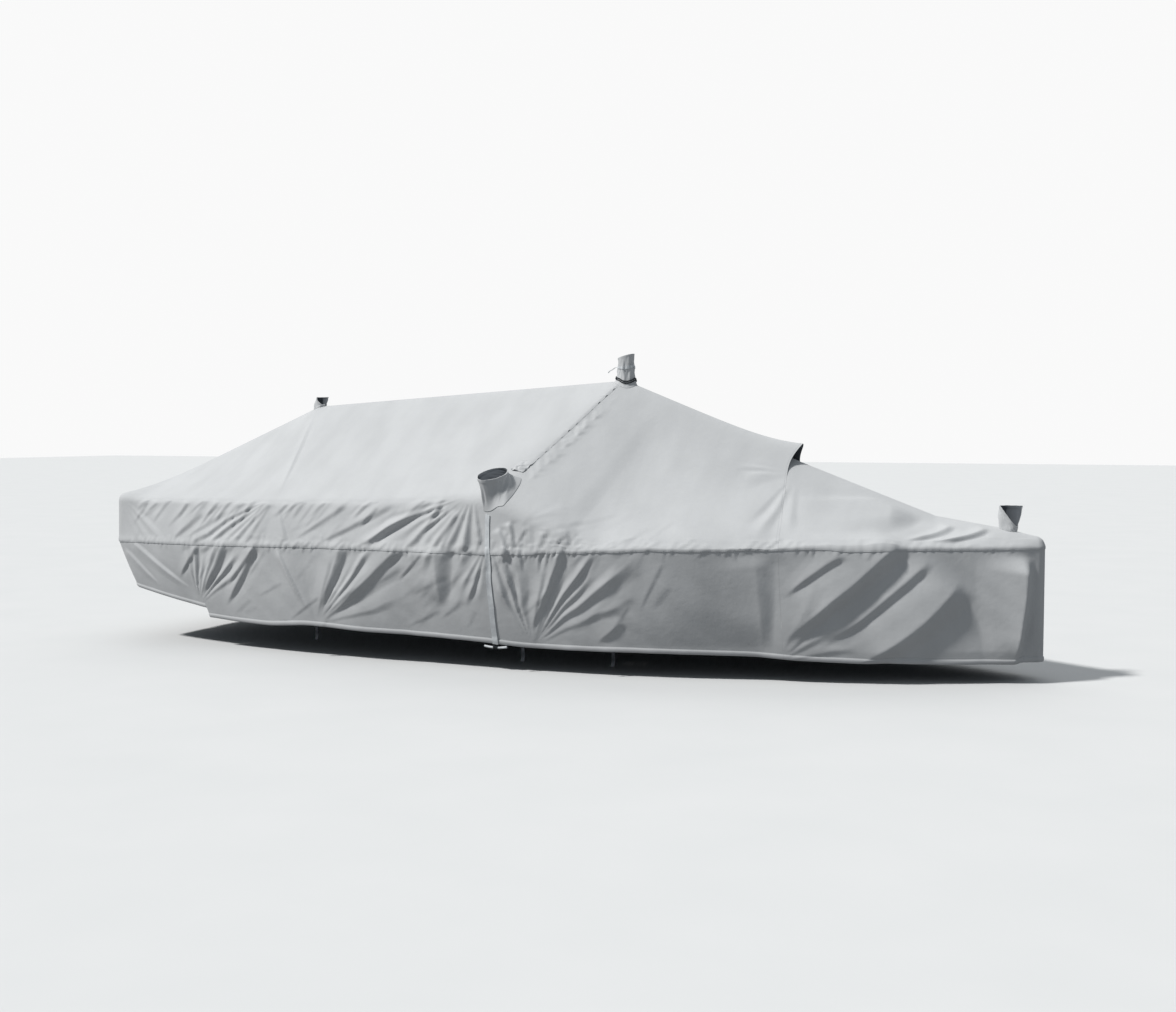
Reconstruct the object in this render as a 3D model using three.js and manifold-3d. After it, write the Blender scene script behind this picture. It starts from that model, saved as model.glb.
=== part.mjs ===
// Tent-like cover of a small keelboat, drawn over the boom and hanging down the topsides, in millimetres.
// +X runs to the bow, +Y to port and +Z up. The origin is under the ridge, on the axis of the mast.
import * as THREE from 'three';
import { mergeVertices } from 'three/addons/utils/BufferGeometryUtils.js';
import Module from 'manifold-3d';

const wasm = await Module();
wasm.setup();

// Driving dimensions of the cloth
const CLOTH = 2.5;
const GAP = 0.5;
const HEM_BEAD = 5;
const HEM_BEAD_TOP = 34;
const RIDGE_RADIUS = 70;
const KNEE_RADIUS = 60;
const KNEE_INSET = 40;
const KNEE_INSET_SHARE = 0.12;
const KNEE_ARM_SHARE = 0.8;
// The skirt's bulge and the roof's sag fade out where the boat is narrower than a half beam
const SKIRT_BULGE = { depth: 12, halfBeam: 400 };
const ROOF_SAG = { depth: 18, halfBeam: 600 };
const COLUMN_PITCH = 82;
const COLUMN_CLEAR = 0.006;

// Stern corners, stern crown and the half angle of the bow
const CORNER_RADIUS = 90;
const CORNER_CUT = 10;
const CORNER_COLUMNS = [12, 40];
const STERN_CROWN = 30;
const STERN_STEPS = 10;
const STEM_STEPS = 4;
const BOW_ANGLE = THREE.MathUtils.degToRad(32);

// Peaked vent in the forward edge of the mid roof
const VENT_ARCH = { rise: 100, width: 150, growth: 1.1 };
const VENT_BRIM = { reach: 10, width: 90, growth: 6 };

// Pattern lines from stern to stem: where each crosses the ridge, the knee, the rail seam and the hem.
// The hem of the stern skirt is higher, so the slanted quarter seam reaches it further aft.
const PATTERN = [
  { name: 'stern', ridge: -4000, knee: -4000, seam: -3965, hem: -3805, sternHem: -3805 },
  { name: 'quarter', ridge: -3400, knee: -3260, seam: -3200, hem: -2961, sternHem: -2990 },
  { name: 'hip', ridge: -2660, knee: -2310, seam: -2250, hem: -2150 },
  { name: 'closure', ridge: 0, knee: -520, seam: -505, hem: -495 },
  { name: 'peak', ridge: 1300, knee: 1385, seam: 1392, hem: 1405 },
  { name: 'stem', ridge: 2850, knee: 2887, seam: 2887, hem: 2890 },
];
const LINE = Object.fromEntries(PATTERN.map((row, index) => [row.name, index]));

// Ridge: x, z. The corners at the boom end and the mast stay sharp.
const RIDGE = [
  [-4000, -713], [-2660, -170], [0, 0], [1300, -575], [2220, -925], [2640, -993], [2850, -1040],
];
// Half beam at the rail seam: x, y
const BEAM = [
  [-4000, 895], [-3400, 1000], [-2600, 1100], [-1800, 1170], [-1000, 1200], [-400, 1190], [200, 1140],
  [800, 1030], [1400, 840], [2000, 575], [2500, 290], [2800, 113], [2890, 58],
];
// Rail seam: x, z
const SEAM = [
  [-4000, -1215], [-3000, -1200], [-2000, -1178], [-1000, -1170], [-400, -1170], [400, -1125],
  [1400, -1103], [2000, -1097], [2600, -1075], [2890, -1060],
];
// Height of the knee over the rail seam: x, rise
const KNEE = [
  [-4000, 353], [-3000, 345], [-2300, 333], [-1350, 347], [-620, 370], [-300, 270], [0, 125],
  [200, 60], [400, 45], [2000, 40], [2600, 24], [2890, 12],
];
// Hem of the side skirts: x, z
const SIDE_HEM = [
  [-3000, -1760], [-2400, -1780], [-2000, -1755], [-1500, -1773], [-600, -1796], [-250, -1818],
  [600, -1818], [1400, -1825], [2200, -1836], [2890, -1850],
];
// Hem of the stern skirt: x, z
const STERN_HEM = [[-3805, -1572], [-3400, -1635], [-2990, -1693]];
// How far the hem tucks in under the rail seam: x, tuck
const TUCK = [[-3800, 60], [-2000, 55], [0, 60], [1400, 90], [2000, 80], [2500, 40], [2890, 4]];

// Main folds, each along a crest that runs from a top to a foot, given as x along the boat and rise over the
// rail seam: topX, topRise, footX, footRise, then the bow of the crest, the fold's width and its depth
const FOLDS = [
  [-1660, -30, -1930, -430, 0, 45, 16],
  [-1440, -20, -1920, -530, -40, 55, 24],
  [-1130, 0, -1810, -540, -40, 70, 30],
  [-990, 330, -1540, 0, 0, 50, -24],
  [-2340, 320, -2550, 20, 0, 42, 12],
  [-2300, 310, -2140, 10, 0, 42, 12],
  [-2380, -50, -1940, -520, 0, 40, 14],
  [-3010, 260, -3320, 30, 0, 42, 12],
  [-2710, 270, -3050, 50, 0, 45, 14],
  [-2460, 270, -2910, 20, 0, 45, 14],
  [-3050, -50, -3180, -260, 0, 42, 12],
  [-2780, -10, -3120, -340, 0, 60, 26],
  [-2840, -250, -2960, -490, 0, 45, 16],
  [-3790, 0, -3100, -410, 0, 48, 14],
  [-770, 350, -1110, 0, 0, 45, 16],
  [-850, -20, -760, -520, 0, 110, -20],
  [-790, -10, -590, -350, 0, 42, 12],
  [-470, 40, -290, -490, 0, 60, 18],
  [90, -50, -160, -390, 0, 42, 14],
  [180, -60, -200, -570, 0, 46, 20],
  [350, -60, -160, -610, -60, 50, 20],
  [430, -220, 60, -560, 0, 46, 10],
  [1720, -40, 1430, -280, 0, 46, 14],
  [2120, -20, 1450, -530, 60, 65, 28],
  [2220, -50, 1810, -500, -60, 55, 18],
  [2320, -170, 1980, -570, -40, 50, 16],
  [2420, -350, 2050, -650, 0, 75, 30],
  [2520, 130, 2230, 10, 30, 42, 12],
  [2270, 170, 2070, 20, 0, 42, 10],
];
const FOLD_LEE = 1.5;
const FOLD_TOP_WIDTH = 1.3;
const FOLD_TAPER = 0.55;
const FOLD_END = 0.15;
const FOLD_END_DEPTH = 0.3;
// Where the folds fade out: past the stern, before the stem and below the ridge
const FOLD_STERN = -3980;
const FOLD_STEM = 2800;
const FOLD_FADE = 200;
const FOLD_TOP_ROW = 2.9;
const FOLD_TOP_FADE = 0.3;
// The port side has the same folds, a little shallower and shifted to and fro
const PORT_SHIFT = 70;
const PORT_WAVE = 450;
const PORT_SHARE = 0.85;

// Rows across the cloth, as shares: 0 hem, 1 rail seam, 2 knee, 3 ridge
const AFT_ROWS = [1, 1.3, 1.6, 1.84, 2, 2.05, 2.25, 2.5, 2.75, 2.92, 3];
const MID_ROWS = [1, 1.3, 1.6, 2, 2.05, 2.25, 2.5, 2.75, 2.92, 3];
const BOW_ROWS = [1, 1.5, 2, 2.05, 2.25, 2.5, 2.75, 2.92, 3];
const UPPER_ROOF = 2.1;
const SKIRT_ROWS = [0.25, 0.5, 0.75, 1];

// Closure: columns beside its line, the flap on the roof and the strap down the side
const CLOSURE_COLUMNS = [-60, -22, 0, 22];
const STRAP_COLUMNS = [-22, 0, 22];
const CLOSURE_REACH = 0.08;
const FLAP_ROWS = [2.25, 2.5, 2.75, 2.92];
const STRAP_UPPER_ROWS = [1.3, 1.6];

// Openings in the roof: x, y, radius
const MAST_HOLE = { x: 0, y: 0, radius: 62 };
const FORESTAY_HOLE = { x: 2690, y: 0, radius: 20 };
const BOOM_END_HOLE = { x: -2655, y: 0, radius: 20 };
const SHROUD_HOLE = { x: -455, y: 1100, radius: 26 };
const HOLE_SIDES = 20;
// Halvings in the search for a pattern place
const SEARCH_STEPS = 40;
const DRILL = 3000;

// Collar round the mast: base on the roof, drawn in to a neck, with a slanted top
const COLLAR_BASE = 84;
const COLLAR_TOP = { radiusX: 60, radiusY: 56, z: 177, slant: 0.29 };
const COLLAR_ROWS = [0, 0.07, 0.15, 0.25, 0.58, 0.66, 1];
const COLLAR_SIDES = 18;
const COLLAR_NECK = 6;
const COLLAR_FOLD = { depth: 3, count: 5, twist: 6 };
const DRAWCORD_ROWS = [0.15, 0.25];
const TIE_ROWS = [0.58, 0.66];
const TIE_THICKNESS = 4;
const TIE_TAIL = { width: 14, length: 70, thickness: 3, drop: 40, steps: 4 };

// Boots of the wires: middle and radii of the base, then the rim. The base of a shroud's boot is an oval on
// the cloth, set by where it lies furthest forward and furthest in.
const BOOT_SIDES = 16;
const BOOT_ROWS = [0, 0.35, 0.7, 1];
const FORESTAY_BOOT = { radiusX: 58, radiusY: 40, rimX: 2708, rimRadiusX: 72, rimRadiusY: 46, z: -846 };
const BOOM_END_BOOT = { radiusX: 54, radiusY: 36, rimX: -2632, rimRadiusX: 50, rimRadiusY: 34, z: -92 };
const BOOT_SLIT = 0.35;
const BOOT_FALL = 0.8;
const SHROUD_BOOT_SEAT = 2.3;
const SHROUD_BOOT = {
  base: { x: -460, row: 1.98, foreX: 78, foreRow: 0.08, inX: 46, inRow: 0.19 },
  rim: { x: -518, y: 1075, z: -650, radiusX: 97, radiusY: 86, slantX: -0.2, slantY: 0.55 },
};

// Webbing tabs under the hem, and the cord across the foot of the closure
const TAB_PLACES = [-1930, -300, 330];
const TAB = { width: 25, thickness: 3, length: 95 };
const HEM_CORD = { radius: 6, length: 170, sides: 8 };

const canvas = () => new THREE.MeshStandardMaterial({ color: 0xbfc2c1, roughness: 0.9, metalness: 0 });
const paleWebbing = () => new THREE.MeshStandardMaterial({ color: 0xd9dad6, roughness: 0.85, metalness: 0 });
const darkWebbing = () => new THREE.MeshStandardMaterial({ color: 0x2b2f33, roughness: 0.85, metalness: 0 });

const clamp = THREE.MathUtils.clamp;
const mix = THREE.MathUtils.lerp;

function smooth(value) {
  const t = clamp(value, 0, 1);
  return t * t * (3 - 2 * t);
}

// Straight runs between the rows of a table
function polyline(table) {
  return (x) => {
    const last = table.length - 2;
    let i = 0;
    while (i < last && x > table[i + 1][0]) i += 1;
    const share = clamp((x - table[i][0]) / (table[i + 1][0] - table[i][0]), 0, 1);
    return mix(table[i][1], table[i + 1][1], share);
  };
}

// Smooth curve through the rows of a table
function curve(table) {
  const last = table.length - 1;
  const slopes = table.map((row, i) => {
    const before = table[Math.max(i - 1, 0)];
    const after = table[Math.min(i + 1, last)];
    return (after[1] - before[1]) / (after[0] - before[0]);
  });
  return (x) => {
    const place = clamp(x, table[0][0], table[last][0]);
    let i = 0;
    while (i < last - 1 && place > table[i + 1][0]) i += 1;
    const span = table[i + 1][0] - table[i][0];
    const t = (place - table[i][0]) / span;
    const rise = table[i + 1][1] - table[i][1];
    const start = slopes[i] * span;
    const end = slopes[i + 1] * span;
    const bend = 3 * rise - 2 * start - end;
    const twist = start + end - 2 * rise;
    return table[i][1] + t * (start + t * (bend + t * twist));
  };
}

const ridgeZ = polyline(RIDGE);
const beam = curve(BEAM);
const seamZ = curve(SEAM);
const kneeRise = curve(KNEE);
const sideHemZ = curve(SIDE_HEM);
const sternHemZ = curve(STERN_HEM);
const tuck = curve(TUCK);

// Where pattern place u crosses a level
function lineX(u, level) {
  const last = level === 'sternHem' ? LINE.quarter - 1 : PATTERN.length - 2;
  const i = clamp(Math.floor(u), 0, last);
  return mix(PATTERN[i][level], PATTERN[i + 1][level], u - i);
}

// Half beam at a level, rounded in at the stern corner
function halfBeam(x, level) {
  const left = CORNER_RADIUS - CORNER_CUT - Math.max(x - PATTERN[0][level], 0);
  const cut = left > 0 ? CORNER_RADIUS - Math.sqrt(CORNER_RADIUS ** 2 - left ** 2) : 0;
  return beam(x) - cut;
}

// The four corner points of the section at u, to starboard; stern chooses the hem of the stern skirt
function section(u, stern) {
  const x = Object.fromEntries(['ridge', 'knee', 'seam'].map((level) => [level, lineX(u, level)]));
  x.hem = lineX(u, stern ? 'sternHem' : 'hem');
  const hemZ = stern ? sternHemZ(x.hem) : sideHemZ(x.hem);
  const inset = Math.min(KNEE_INSET, kneeRise(x.knee) * KNEE_INSET_SHARE);
  return {
    ridge: new THREE.Vector3(x.ridge, 0, ridgeZ(x.ridge)),
    knee: new THREE.Vector3(x.knee, inset - halfBeam(x.knee, 'knee'), seamZ(x.knee) + kneeRise(x.knee)),
    seam: new THREE.Vector3(x.seam, -halfBeam(x.seam, 'seam'), seamZ(x.seam)),
    hem: new THREE.Vector3(x.hem, tuck(x.hem) - halfBeam(x.hem, 'hem'), hemZ),
  };
}

// Point of the roof between knee and ridge, a tent with a rounded ridge
function tentPoint(corners, share, u, vented) {
  const { knee, ridge } = corners;
  const y = knee.y * (1 - share);
  const reach = Math.hypot(knee.y, RIDGE_RADIUS) - RIDGE_RADIUS;
  const fall = (Math.hypot(y, RIDGE_RADIUS) - RIDGE_RADIUS) / reach;
  const sag = ROOF_SAG.depth * 4 * share * (1 - share) * smooth(-knee.y / ROOF_SAG.halfBeam);
  const point = new THREE.Vector3(mix(knee.x, ridge.x, share), y, mix(ridge.z, knee.z, fall) - sag);
  if (vented) {
    const forward = clamp(u - LINE.closure, 0, 1);
    point.z += VENT_ARCH.rise * forward ** VENT_ARCH.growth * Math.exp(-((y / VENT_ARCH.width) ** 2));
    point.x += VENT_BRIM.reach * forward ** VENT_BRIM.growth * Math.exp(-((y / VENT_BRIM.width) ** 2));
  }
  return point;
}

// Unfolded cloth on the starboard side, with the knee rounded
function basePoint(u, q, options) {
  const corners = section(u, options.stern);
  const plain = (row) => {
    if (row >= 2) return tentPoint(corners, row - 2, u, options.vented);
    if (row >= 1) return corners.seam.clone().lerp(corners.knee, row - 1);
    const point = corners.hem.clone().lerp(corners.seam, row);
    const wide = smooth(-corners.seam.y / SKIRT_BULGE.halfBeam);
    point.y -= SKIRT_BULGE.depth * Math.sin(Math.PI * row) * wide;
    return point;
  };
  const bandHeight = corners.seam.distanceTo(corners.knee);
  const roofLength = corners.knee.distanceTo(corners.ridge);
  const arm = Math.min(KNEE_RADIUS, bandHeight * KNEE_ARM_SHARE, roofLength / 2);
  const bandArm = arm / bandHeight;
  const roofArm = arm / roofLength;
  if (q <= 2 - bandArm || q >= 2 + roofArm) return plain(q);
  const t = q < 2 ? 0.5 + (0.5 * (q - 2)) / bandArm : 0.5 + (0.5 * (q - 2)) / roofArm;
  const lower = plain(2 - bandArm).multiplyScalar((1 - t) ** 2);
  const upper = plain(2 + roofArm).multiplyScalar(t ** 2);
  return plain(2).multiplyScalar(2 * t * (1 - t)).add(lower).add(upper);
}

// Outward direction of the unfolded cloth
function baseNormal(u, q, options) {
  const step = 0.001;
  const top = PATTERN.length - 1;
  const along = basePoint(Math.min(u + step, top), q, options);
  along.sub(basePoint(Math.max(u - step, 0), q, options));
  const up = basePoint(u, Math.min(q + step, 3), options);
  up.sub(basePoint(u, Math.max(q - step, 0), options));
  if (q === 3) up.set(0, 1, 0);
  return along.cross(up).normalize();
}

// How far the folds push the cloth out at a place along the boat and a rise over the rail seam
function foldDepth(x, rise) {
  let sum = 0;
  for (const [topX, topRise, footX, footRise, bow, width, depth] of FOLDS) {
    const runX = footX - topX;
    const runRise = footRise - topRise;
    const length = Math.hypot(runX, runRise);
    const along = ((x - topX) * runX + (rise - topRise) * runRise) / length ** 2;
    const t = clamp(along, 0, 1);
    const across = ((x - topX) * runRise - (rise - topRise) * runX) / length - bow * 4 * t * (1 - t);
    const spread = width * (FOLD_TOP_WIDTH - FOLD_TAPER * t) * (across > 0 ? FOLD_LEE : 1);
    const past = ((along - t) * length) / width;
    const ends = mix(FOLD_END_DEPTH, 1, smooth(t / FOLD_END) * smooth((1 - t) / FOLD_END));
    sum += depth * ends * Math.exp(-((across / spread) ** 2) - past ** 2);
  }
  return sum;
}

// Folded cloth at pattern place u and row q: its under side, its direction and its outer side
function cloth(u, q, side, options = {}) {
  const point = basePoint(u, q, options);
  const normal = baseNormal(u, q, options);
  const corners = section(u, options.stern);
  const band = corners.seam.distanceTo(corners.knee);
  const skirt = corners.hem.distanceTo(corners.seam);
  const roof = corners.knee.distanceTo(corners.ridge);
  const rise = q <= 1 ? (q - 1) * skirt : q <= 2 ? (q - 1) * band : band + (q - 2) * roof;
  const fade = smooth((point.x - FOLD_STERN) / FOLD_FADE) * smooth((FOLD_STEM - point.x) / FOLD_FADE)
    * smooth((FOLD_TOP_ROW - q) / FOLD_TOP_FADE);
  const folds = side < 0
    ? foldDepth(point.x, rise)
    : PORT_SHARE * foldDepth(point.x + PORT_SHIFT * Math.sin(point.x / PORT_WAVE), rise);
  const below = q * skirt;
  const bead = HEM_BEAD * smooth(1 - below / HEM_BEAD_TOP);
  const under = point.clone().addScaledVector(normal, folds * fade - bead);
  const outer = point.clone().addScaledVector(normal, folds * fade + CLOTH + bead);
  if (side > 0) {
    for (const vector of [under, outer, normal]) vector.y = -vector.y;
  }
  return { under, outer, normal };
}

// Closed solid from patches of paired outer and under points, sewn along shared outer points
function sheetGeometry(patches) {
  const outer = [];
  const under = [];
  const known = new Map();
  const triangles = [];
  const numberOf = (pair) => {
    const key = pair.outer.toArray().map((value) => Math.round(value * 100)).join();
    if (!known.has(key)) {
      known.set(key, outer.length);
      outer.push(pair.outer);
      under.push(pair.under);
    }
    return known.get(key);
  };
  const faces = (a, b, c) => {
    const face = new THREE.Triangle(outer[a], outer[b], outer[c]).getNormal(new THREE.Vector3());
    return face.dot(outer[a].clone().sub(under[a]).add(outer[b]).sub(under[b]).add(outer[c]).sub(under[c]));
  };
  for (const patch of patches) {
    const grid = patch.map((row) => row.map(numberOf));
    let facing = 0;
    const found = [];
    for (let i = 0; i + 1 < grid.length; i += 1) {
      for (let j = 0; j + 1 < grid[i].length; j += 1) {
        const [a, b, c, d] = [grid[i][j], grid[i + 1][j], grid[i + 1][j + 1], grid[i][j + 1]];
        for (const triangle of [[a, b, c], [a, c, d]]) {
          if (new Set(triangle).size < 3) continue;
          found.push(triangle);
          facing += faces(...triangle);
        }
      }
    }
    triangles.push(...(facing < 0 ? found.map(([a, b, c]) => [a, c, b]) : found));
  }
  const edges = new Set(triangles.flatMap(([a, b, c]) => [`${a},${b}`, `${b},${c}`, `${c},${a}`]));
  const count = outer.length;
  const index = [];
  for (const [a, b, c] of triangles) index.push(a, b, c, a + count, c + count, b + count);
  for (const edge of edges) {
    const [a, b] = edge.split(',').map(Number);
    if (!edges.has(`${b},${a}`)) index.push(b, a, a + count, b, a + count, b + count);
  }
  const geometry = new THREE.BufferGeometry();
  const positions = [...outer, ...under].flatMap((point) => point.toArray());
  geometry.setAttribute('position', new THREE.Float32BufferAttribute(positions, 3));
  geometry.setIndex(index);
  return geometry;
}

// Cut upright round holes out of a closed geometry
function toSolid(geometry) {
  const bare = geometry.clone();
  bare.deleteAttribute('normal');
  bare.deleteAttribute('uv');
  const merged = mergeVertices(bare, 1e-3);
  return new wasm.Manifold(new wasm.Mesh({
    numProp: 3,
    vertProperties: new Float32Array(merged.attributes.position.array),
    triVerts: new Uint32Array(merged.index.array),
  }));
}

function cutHoles(geometry, holes) {
  let solid = toSolid(geometry);
  for (const { x, y, radius } of holes) {
    const drill = new THREE.CylinderGeometry(radius, radius, DRILL, HOLE_SIDES);
    drill.rotateX(Math.PI / 2);
    drill.translate(x, y, 0);
    solid = solid.subtract(toSolid(drill));
  }
  const mesh = solid.getMesh();
  const result = new THREE.BufferGeometry();
  result.setAttribute('position', new THREE.Float32BufferAttribute(mesh.vertProperties, 3));
  result.setIndex([...mesh.triVerts]);
  return result;
}

// Pattern places between two lines, evenly spaced, with extra columns by the stern corner and the closure
function columns(from, to) {
  const places = [];
  for (let line = from; line < to; line += 1) {
    const length = PATTERN[line + 1].seam - PATTERN[line].seam;
    const count = Math.max(2, Math.round(length / COLUMN_PITCH));
    for (let i = 0; i < count; i += 1) places.push(line + i / count);
  }
  places.push(to);
  const extra = [];
  if (from === LINE.stern) {
    const length = PATTERN[1].seam - PATTERN[0].seam;
    for (const reach of CORNER_COLUMNS) extra.push(reach / length);
  }
  for (const shift of CLOSURE_COLUMNS) {
    const u = closurePlace(shift);
    if (u > from && u < to) extra.push(u);
  }
  const apart = (u) => extra.every((other) => Math.abs(u - other) > COLUMN_CLEAR);
  const spaced = places.filter((u) => Number.isInteger(u) || apart(u));
  return [...spaced, ...extra].sort((a, b) => a - b);
}

// Pattern place a distance along the rail seam from the closure
function closurePlace(shift) {
  const line = shift < 0 ? LINE.hip : LINE.closure;
  return LINE.closure + shift / (PATTERN[line + 1].seam - PATTERN[line].seam);
}

// Column used on the smooth upper roof, where every second one is left out away from the closure
function upperPlace(places, i) {
  const kept = i % 2 === 0 || i === 1 || i + 1 >= places.length || Number.isInteger(places[i]);
  return kept || Math.abs(places[i] - LINE.closure) < CLOSURE_REACH ? places[i] : places[i - 1];
}

// Patch of cloth, with its edges drawn back by half a gap where a neighbour follows
function clothPatch(places, rows, side, options = {}) {
  const last = places.length - 1;
  return places.map((u, i) => rows(u).map((q) => {
    const pair = cloth(q > UPPER_ROOF ? upperPlace(places, i) : u, q, side, options);
    for (const point of [pair.under, pair.outer]) {
      if (i === 0 && !options.openStart) point.x += GAP / 2;
      if (i === last && !options.openEnd) point.x -= GAP / 2;
      if (q === 1) point.z += options.skirt ? -GAP / 2 : GAP / 2;
    }
    return pair;
  }));
}

// Rows of a skirt: the bead at its hem, then even rows up to the rail seam
function skirtRows(options) {
  return (u) => {
    const corners = section(u, options.stern);
    const height = corners.seam.distanceTo(corners.hem);
    return [0, HEM_BEAD_TOP / height, ...SKIRT_ROWS];
  };
}

// Patch round the stem, turning from the starboard end of the side to the port end
function nosePatch(rows, fromAngle, toAngle, steps, options = {}) {
  const u = LINE.stem;
  const pole = section(u, false).ridge;
  return Array.from({ length: steps + 1 }, (_, i) => {
    const angle = mix(fromAngle, toAngle, i / steps);
    return rows(u).map((q) => {
      const start = cloth(u, q, -1, options);
      const place = { normal: start.normal };
      for (const key of ['under', 'outer']) {
        const point = start[key];
        const radius = -point.y / Math.cos(BOW_ANGLE);
        const centre = point.x - radius * Math.sin(BOW_ANGLE);
        const share = q > 2 ? q - 2 : 0;
        const middle = mix(centre, pole.x, share);
        const reach = q > 2 ? Math.hypot(point.x - middle, point.y) : radius;
        place[key] = q === 3
          ? point.clone()
          : new THREE.Vector3(middle + reach * Math.sin(angle), -reach * Math.cos(angle), point.z);
        if (q === 1) place[key].z += options.skirt ? -GAP / 2 : GAP / 2;
      }
      return place;
    });
  });
}

// Roof panel between two pattern lines, from rail seam to rail seam
function roofPatches(from, to, rowList, options = {}) {
  const places = columns(from, to);
  return [-1, 1].map((side) => clothPatch(places, () => rowList, side, options));
}

function aftRoof() {
  const patches = roofPatches(LINE.stern, LINE.closure, AFT_ROWS, { openStart: true });
  return cutHoles(sheetGeometry(patches), [MAST_HOLE, BOOM_END_HOLE]);
}

function midRoof() {
  const patches = roofPatches(LINE.closure, LINE.peak, MID_ROWS, { vented: true });
  const shrouds = [-1, 1].map((side) => ({ ...SHROUD_HOLE, y: side * SHROUD_HOLE.y }));
  return cutHoles(sheetGeometry(patches), [MAST_HOLE, ...shrouds]);
}

function bowRoof() {
  const patches = roofPatches(LINE.peak, LINE.stem, BOW_ROWS, { openEnd: true });
  const nose = nosePatch(() => BOW_ROWS, BOW_ANGLE, Math.PI - BOW_ANGLE, 2 * STEM_STEPS);
  const [starboard, port] = patches;
  nose[0] = starboard[starboard.length - 1];
  nose[nose.length - 1] = port[port.length - 1];
  return cutHoles(sheetGeometry([...patches, nose]), [FORESTAY_HOLE]);
}

// Upper part of the stern, a plate behind the aft edge of the roof
function sternGable() {
  const across = AFT_ROWS.filter((q) => q >= 2);
  const rise = [0, 0.5, 1];
  const halves = [-1, 1].map((side) => across.map((q) => {
    const top = cloth(0, q, side).outer;
    const edge = cloth(0, 1, side).outer;
    const knee = cloth(0, 2, side).outer;
    const foot = new THREE.Vector3(edge.x, (edge.y * top.y) / knee.y, edge.z + GAP / 2);
    return rise.map((share) => {
      const point = foot.clone().lerp(top, share);
      const under = point.clone();
      under.x = mix(edge.x, top.x, share) - GAP;
      const outer = under.clone();
      outer.x -= CLOTH;
      return { under, outer };
    });
  }));
  return sheetGeometry(halves);
}

// Skirt round the stern and both quarters
function sternSkirt() {
  const options = { stern: true, skirt: true, openStart: true };
  const rows = skirtRows(options);
  const places = columns(LINE.stern, LINE.quarter);
  const sides = [-1, 1].map((side) => clothPatch(places, rows, side, options));
  const [starboard, port] = sides.map((patch) => patch[0]);
  const back = Array.from({ length: STERN_STEPS + 1 }, (_, i) => starboard.map((start, row) => {
    if (i === 0) return start;
    if (i === STERN_STEPS) return port[row];
    const share = i / STERN_STEPS;
    const outer = start.outer.clone().lerp(port[row].outer, share);
    outer.x -= STERN_CROWN * 4 * share * (1 - share) * (1 - row / (starboard.length - 1));
    const under = outer.clone();
    under.x += start.outer.distanceTo(start.under);
    return { outer, under };
  }));
  return sheetGeometry([...sides, back]);
}

// Side skirt between two pattern lines; the bow skirts also turn round the stem to its middle
function sideSkirt(from, to, side) {
  const options = { skirt: true, openEnd: to === LINE.stem };
  const rows = skirtRows(options);
  const patch = clothPatch(columns(from, to), rows, side, options);
  if (to < LINE.stem) return sheetGeometry([patch]);
  const nose = nosePatch(rows, BOW_ANGLE, Math.PI / 2, STEM_STEPS, options);
  for (const row of nose) {
    for (const pair of row) {
      for (const point of [pair.outer, pair.under]) point.y = -side * Math.min(point.y, -GAP / 2);
    }
  }
  nose[0] = patch[patch.length - 1];
  return sheetGeometry([patch, nose]);
}

// Strip that lies on the cloth between two pattern places
function stripOnCloth(places, rows, side) {
  return sheetGeometry([places.map((u) => rows(u).map((q) => {
    const { outer, normal } = cloth(u, q, side, { vented: u > LINE.closure });
    return {
      under: outer.clone().addScaledVector(normal, GAP),
      outer: outer.clone().addScaledVector(normal, GAP + CLOTH),
    };
  }))]);
}

function closureFlap(side) {
  return stripOnCloth(CLOSURE_COLUMNS.map(closurePlace), () => FLAP_ROWS, side);
}

function closureStrap(side) {
  const skirt = skirtRows({});
  const rows = (u) => [...skirt(u), ...STRAP_UPPER_ROWS];
  return stripOnCloth(STRAP_COLUMNS.map(closurePlace), rows, side);
}

// Pattern place where the cloth at a row reaches a place along the boat
function placeAt(x, rowAt) {
  let low = 0;
  let high = LINE.stem;
  for (let i = 0; i < SEARCH_STEPS; i += 1) {
    const middle = (low + high) / 2;
    if (basePoint(middle, rowAt(middle), {}).x < x) low = middle;
    else high = middle;
  }
  return (low + high) / 2;
}

function clothAt(u, q, side) {
  return cloth(u, q, side, { vented: u > LINE.closure && u < LINE.peak });
}

// Cloth of the roof above a place on the plan
function roofAt(x, y) {
  const rowAt = (u) => 3 + Math.abs(y) / section(u, false).knee.y;
  const u = placeAt(x, rowAt);
  return clothAt(u, rowAt(u), y > 0 ? 1 : -1);
}

function seatOn({ outer, normal }, lift = GAP) {
  return outer.clone().addScaledVector(normal, lift);
}

// Tube of cloth from a base to a rim, each given as a ring by angle and by how far it is drawn in
function bootPatch(angles, rows, base, rim) {
  const wall = (angle, inset) => {
    const low = base(angle, inset);
    const high = rim(angle, inset);
    return rows.map((t) => low.clone().lerp(high, t));
  };
  return angles.map((angle) => {
    const outer = wall(angle, 0);
    const under = wall(angle, CLOTH);
    return outer.map((point, row) => ({ outer: point, under: under[row] }));
  });
}

function turn(from, to, sides) {
  return Array.from({ length: sides + 1 }, (_, i) => mix(from, to, i / sides));
}

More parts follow.
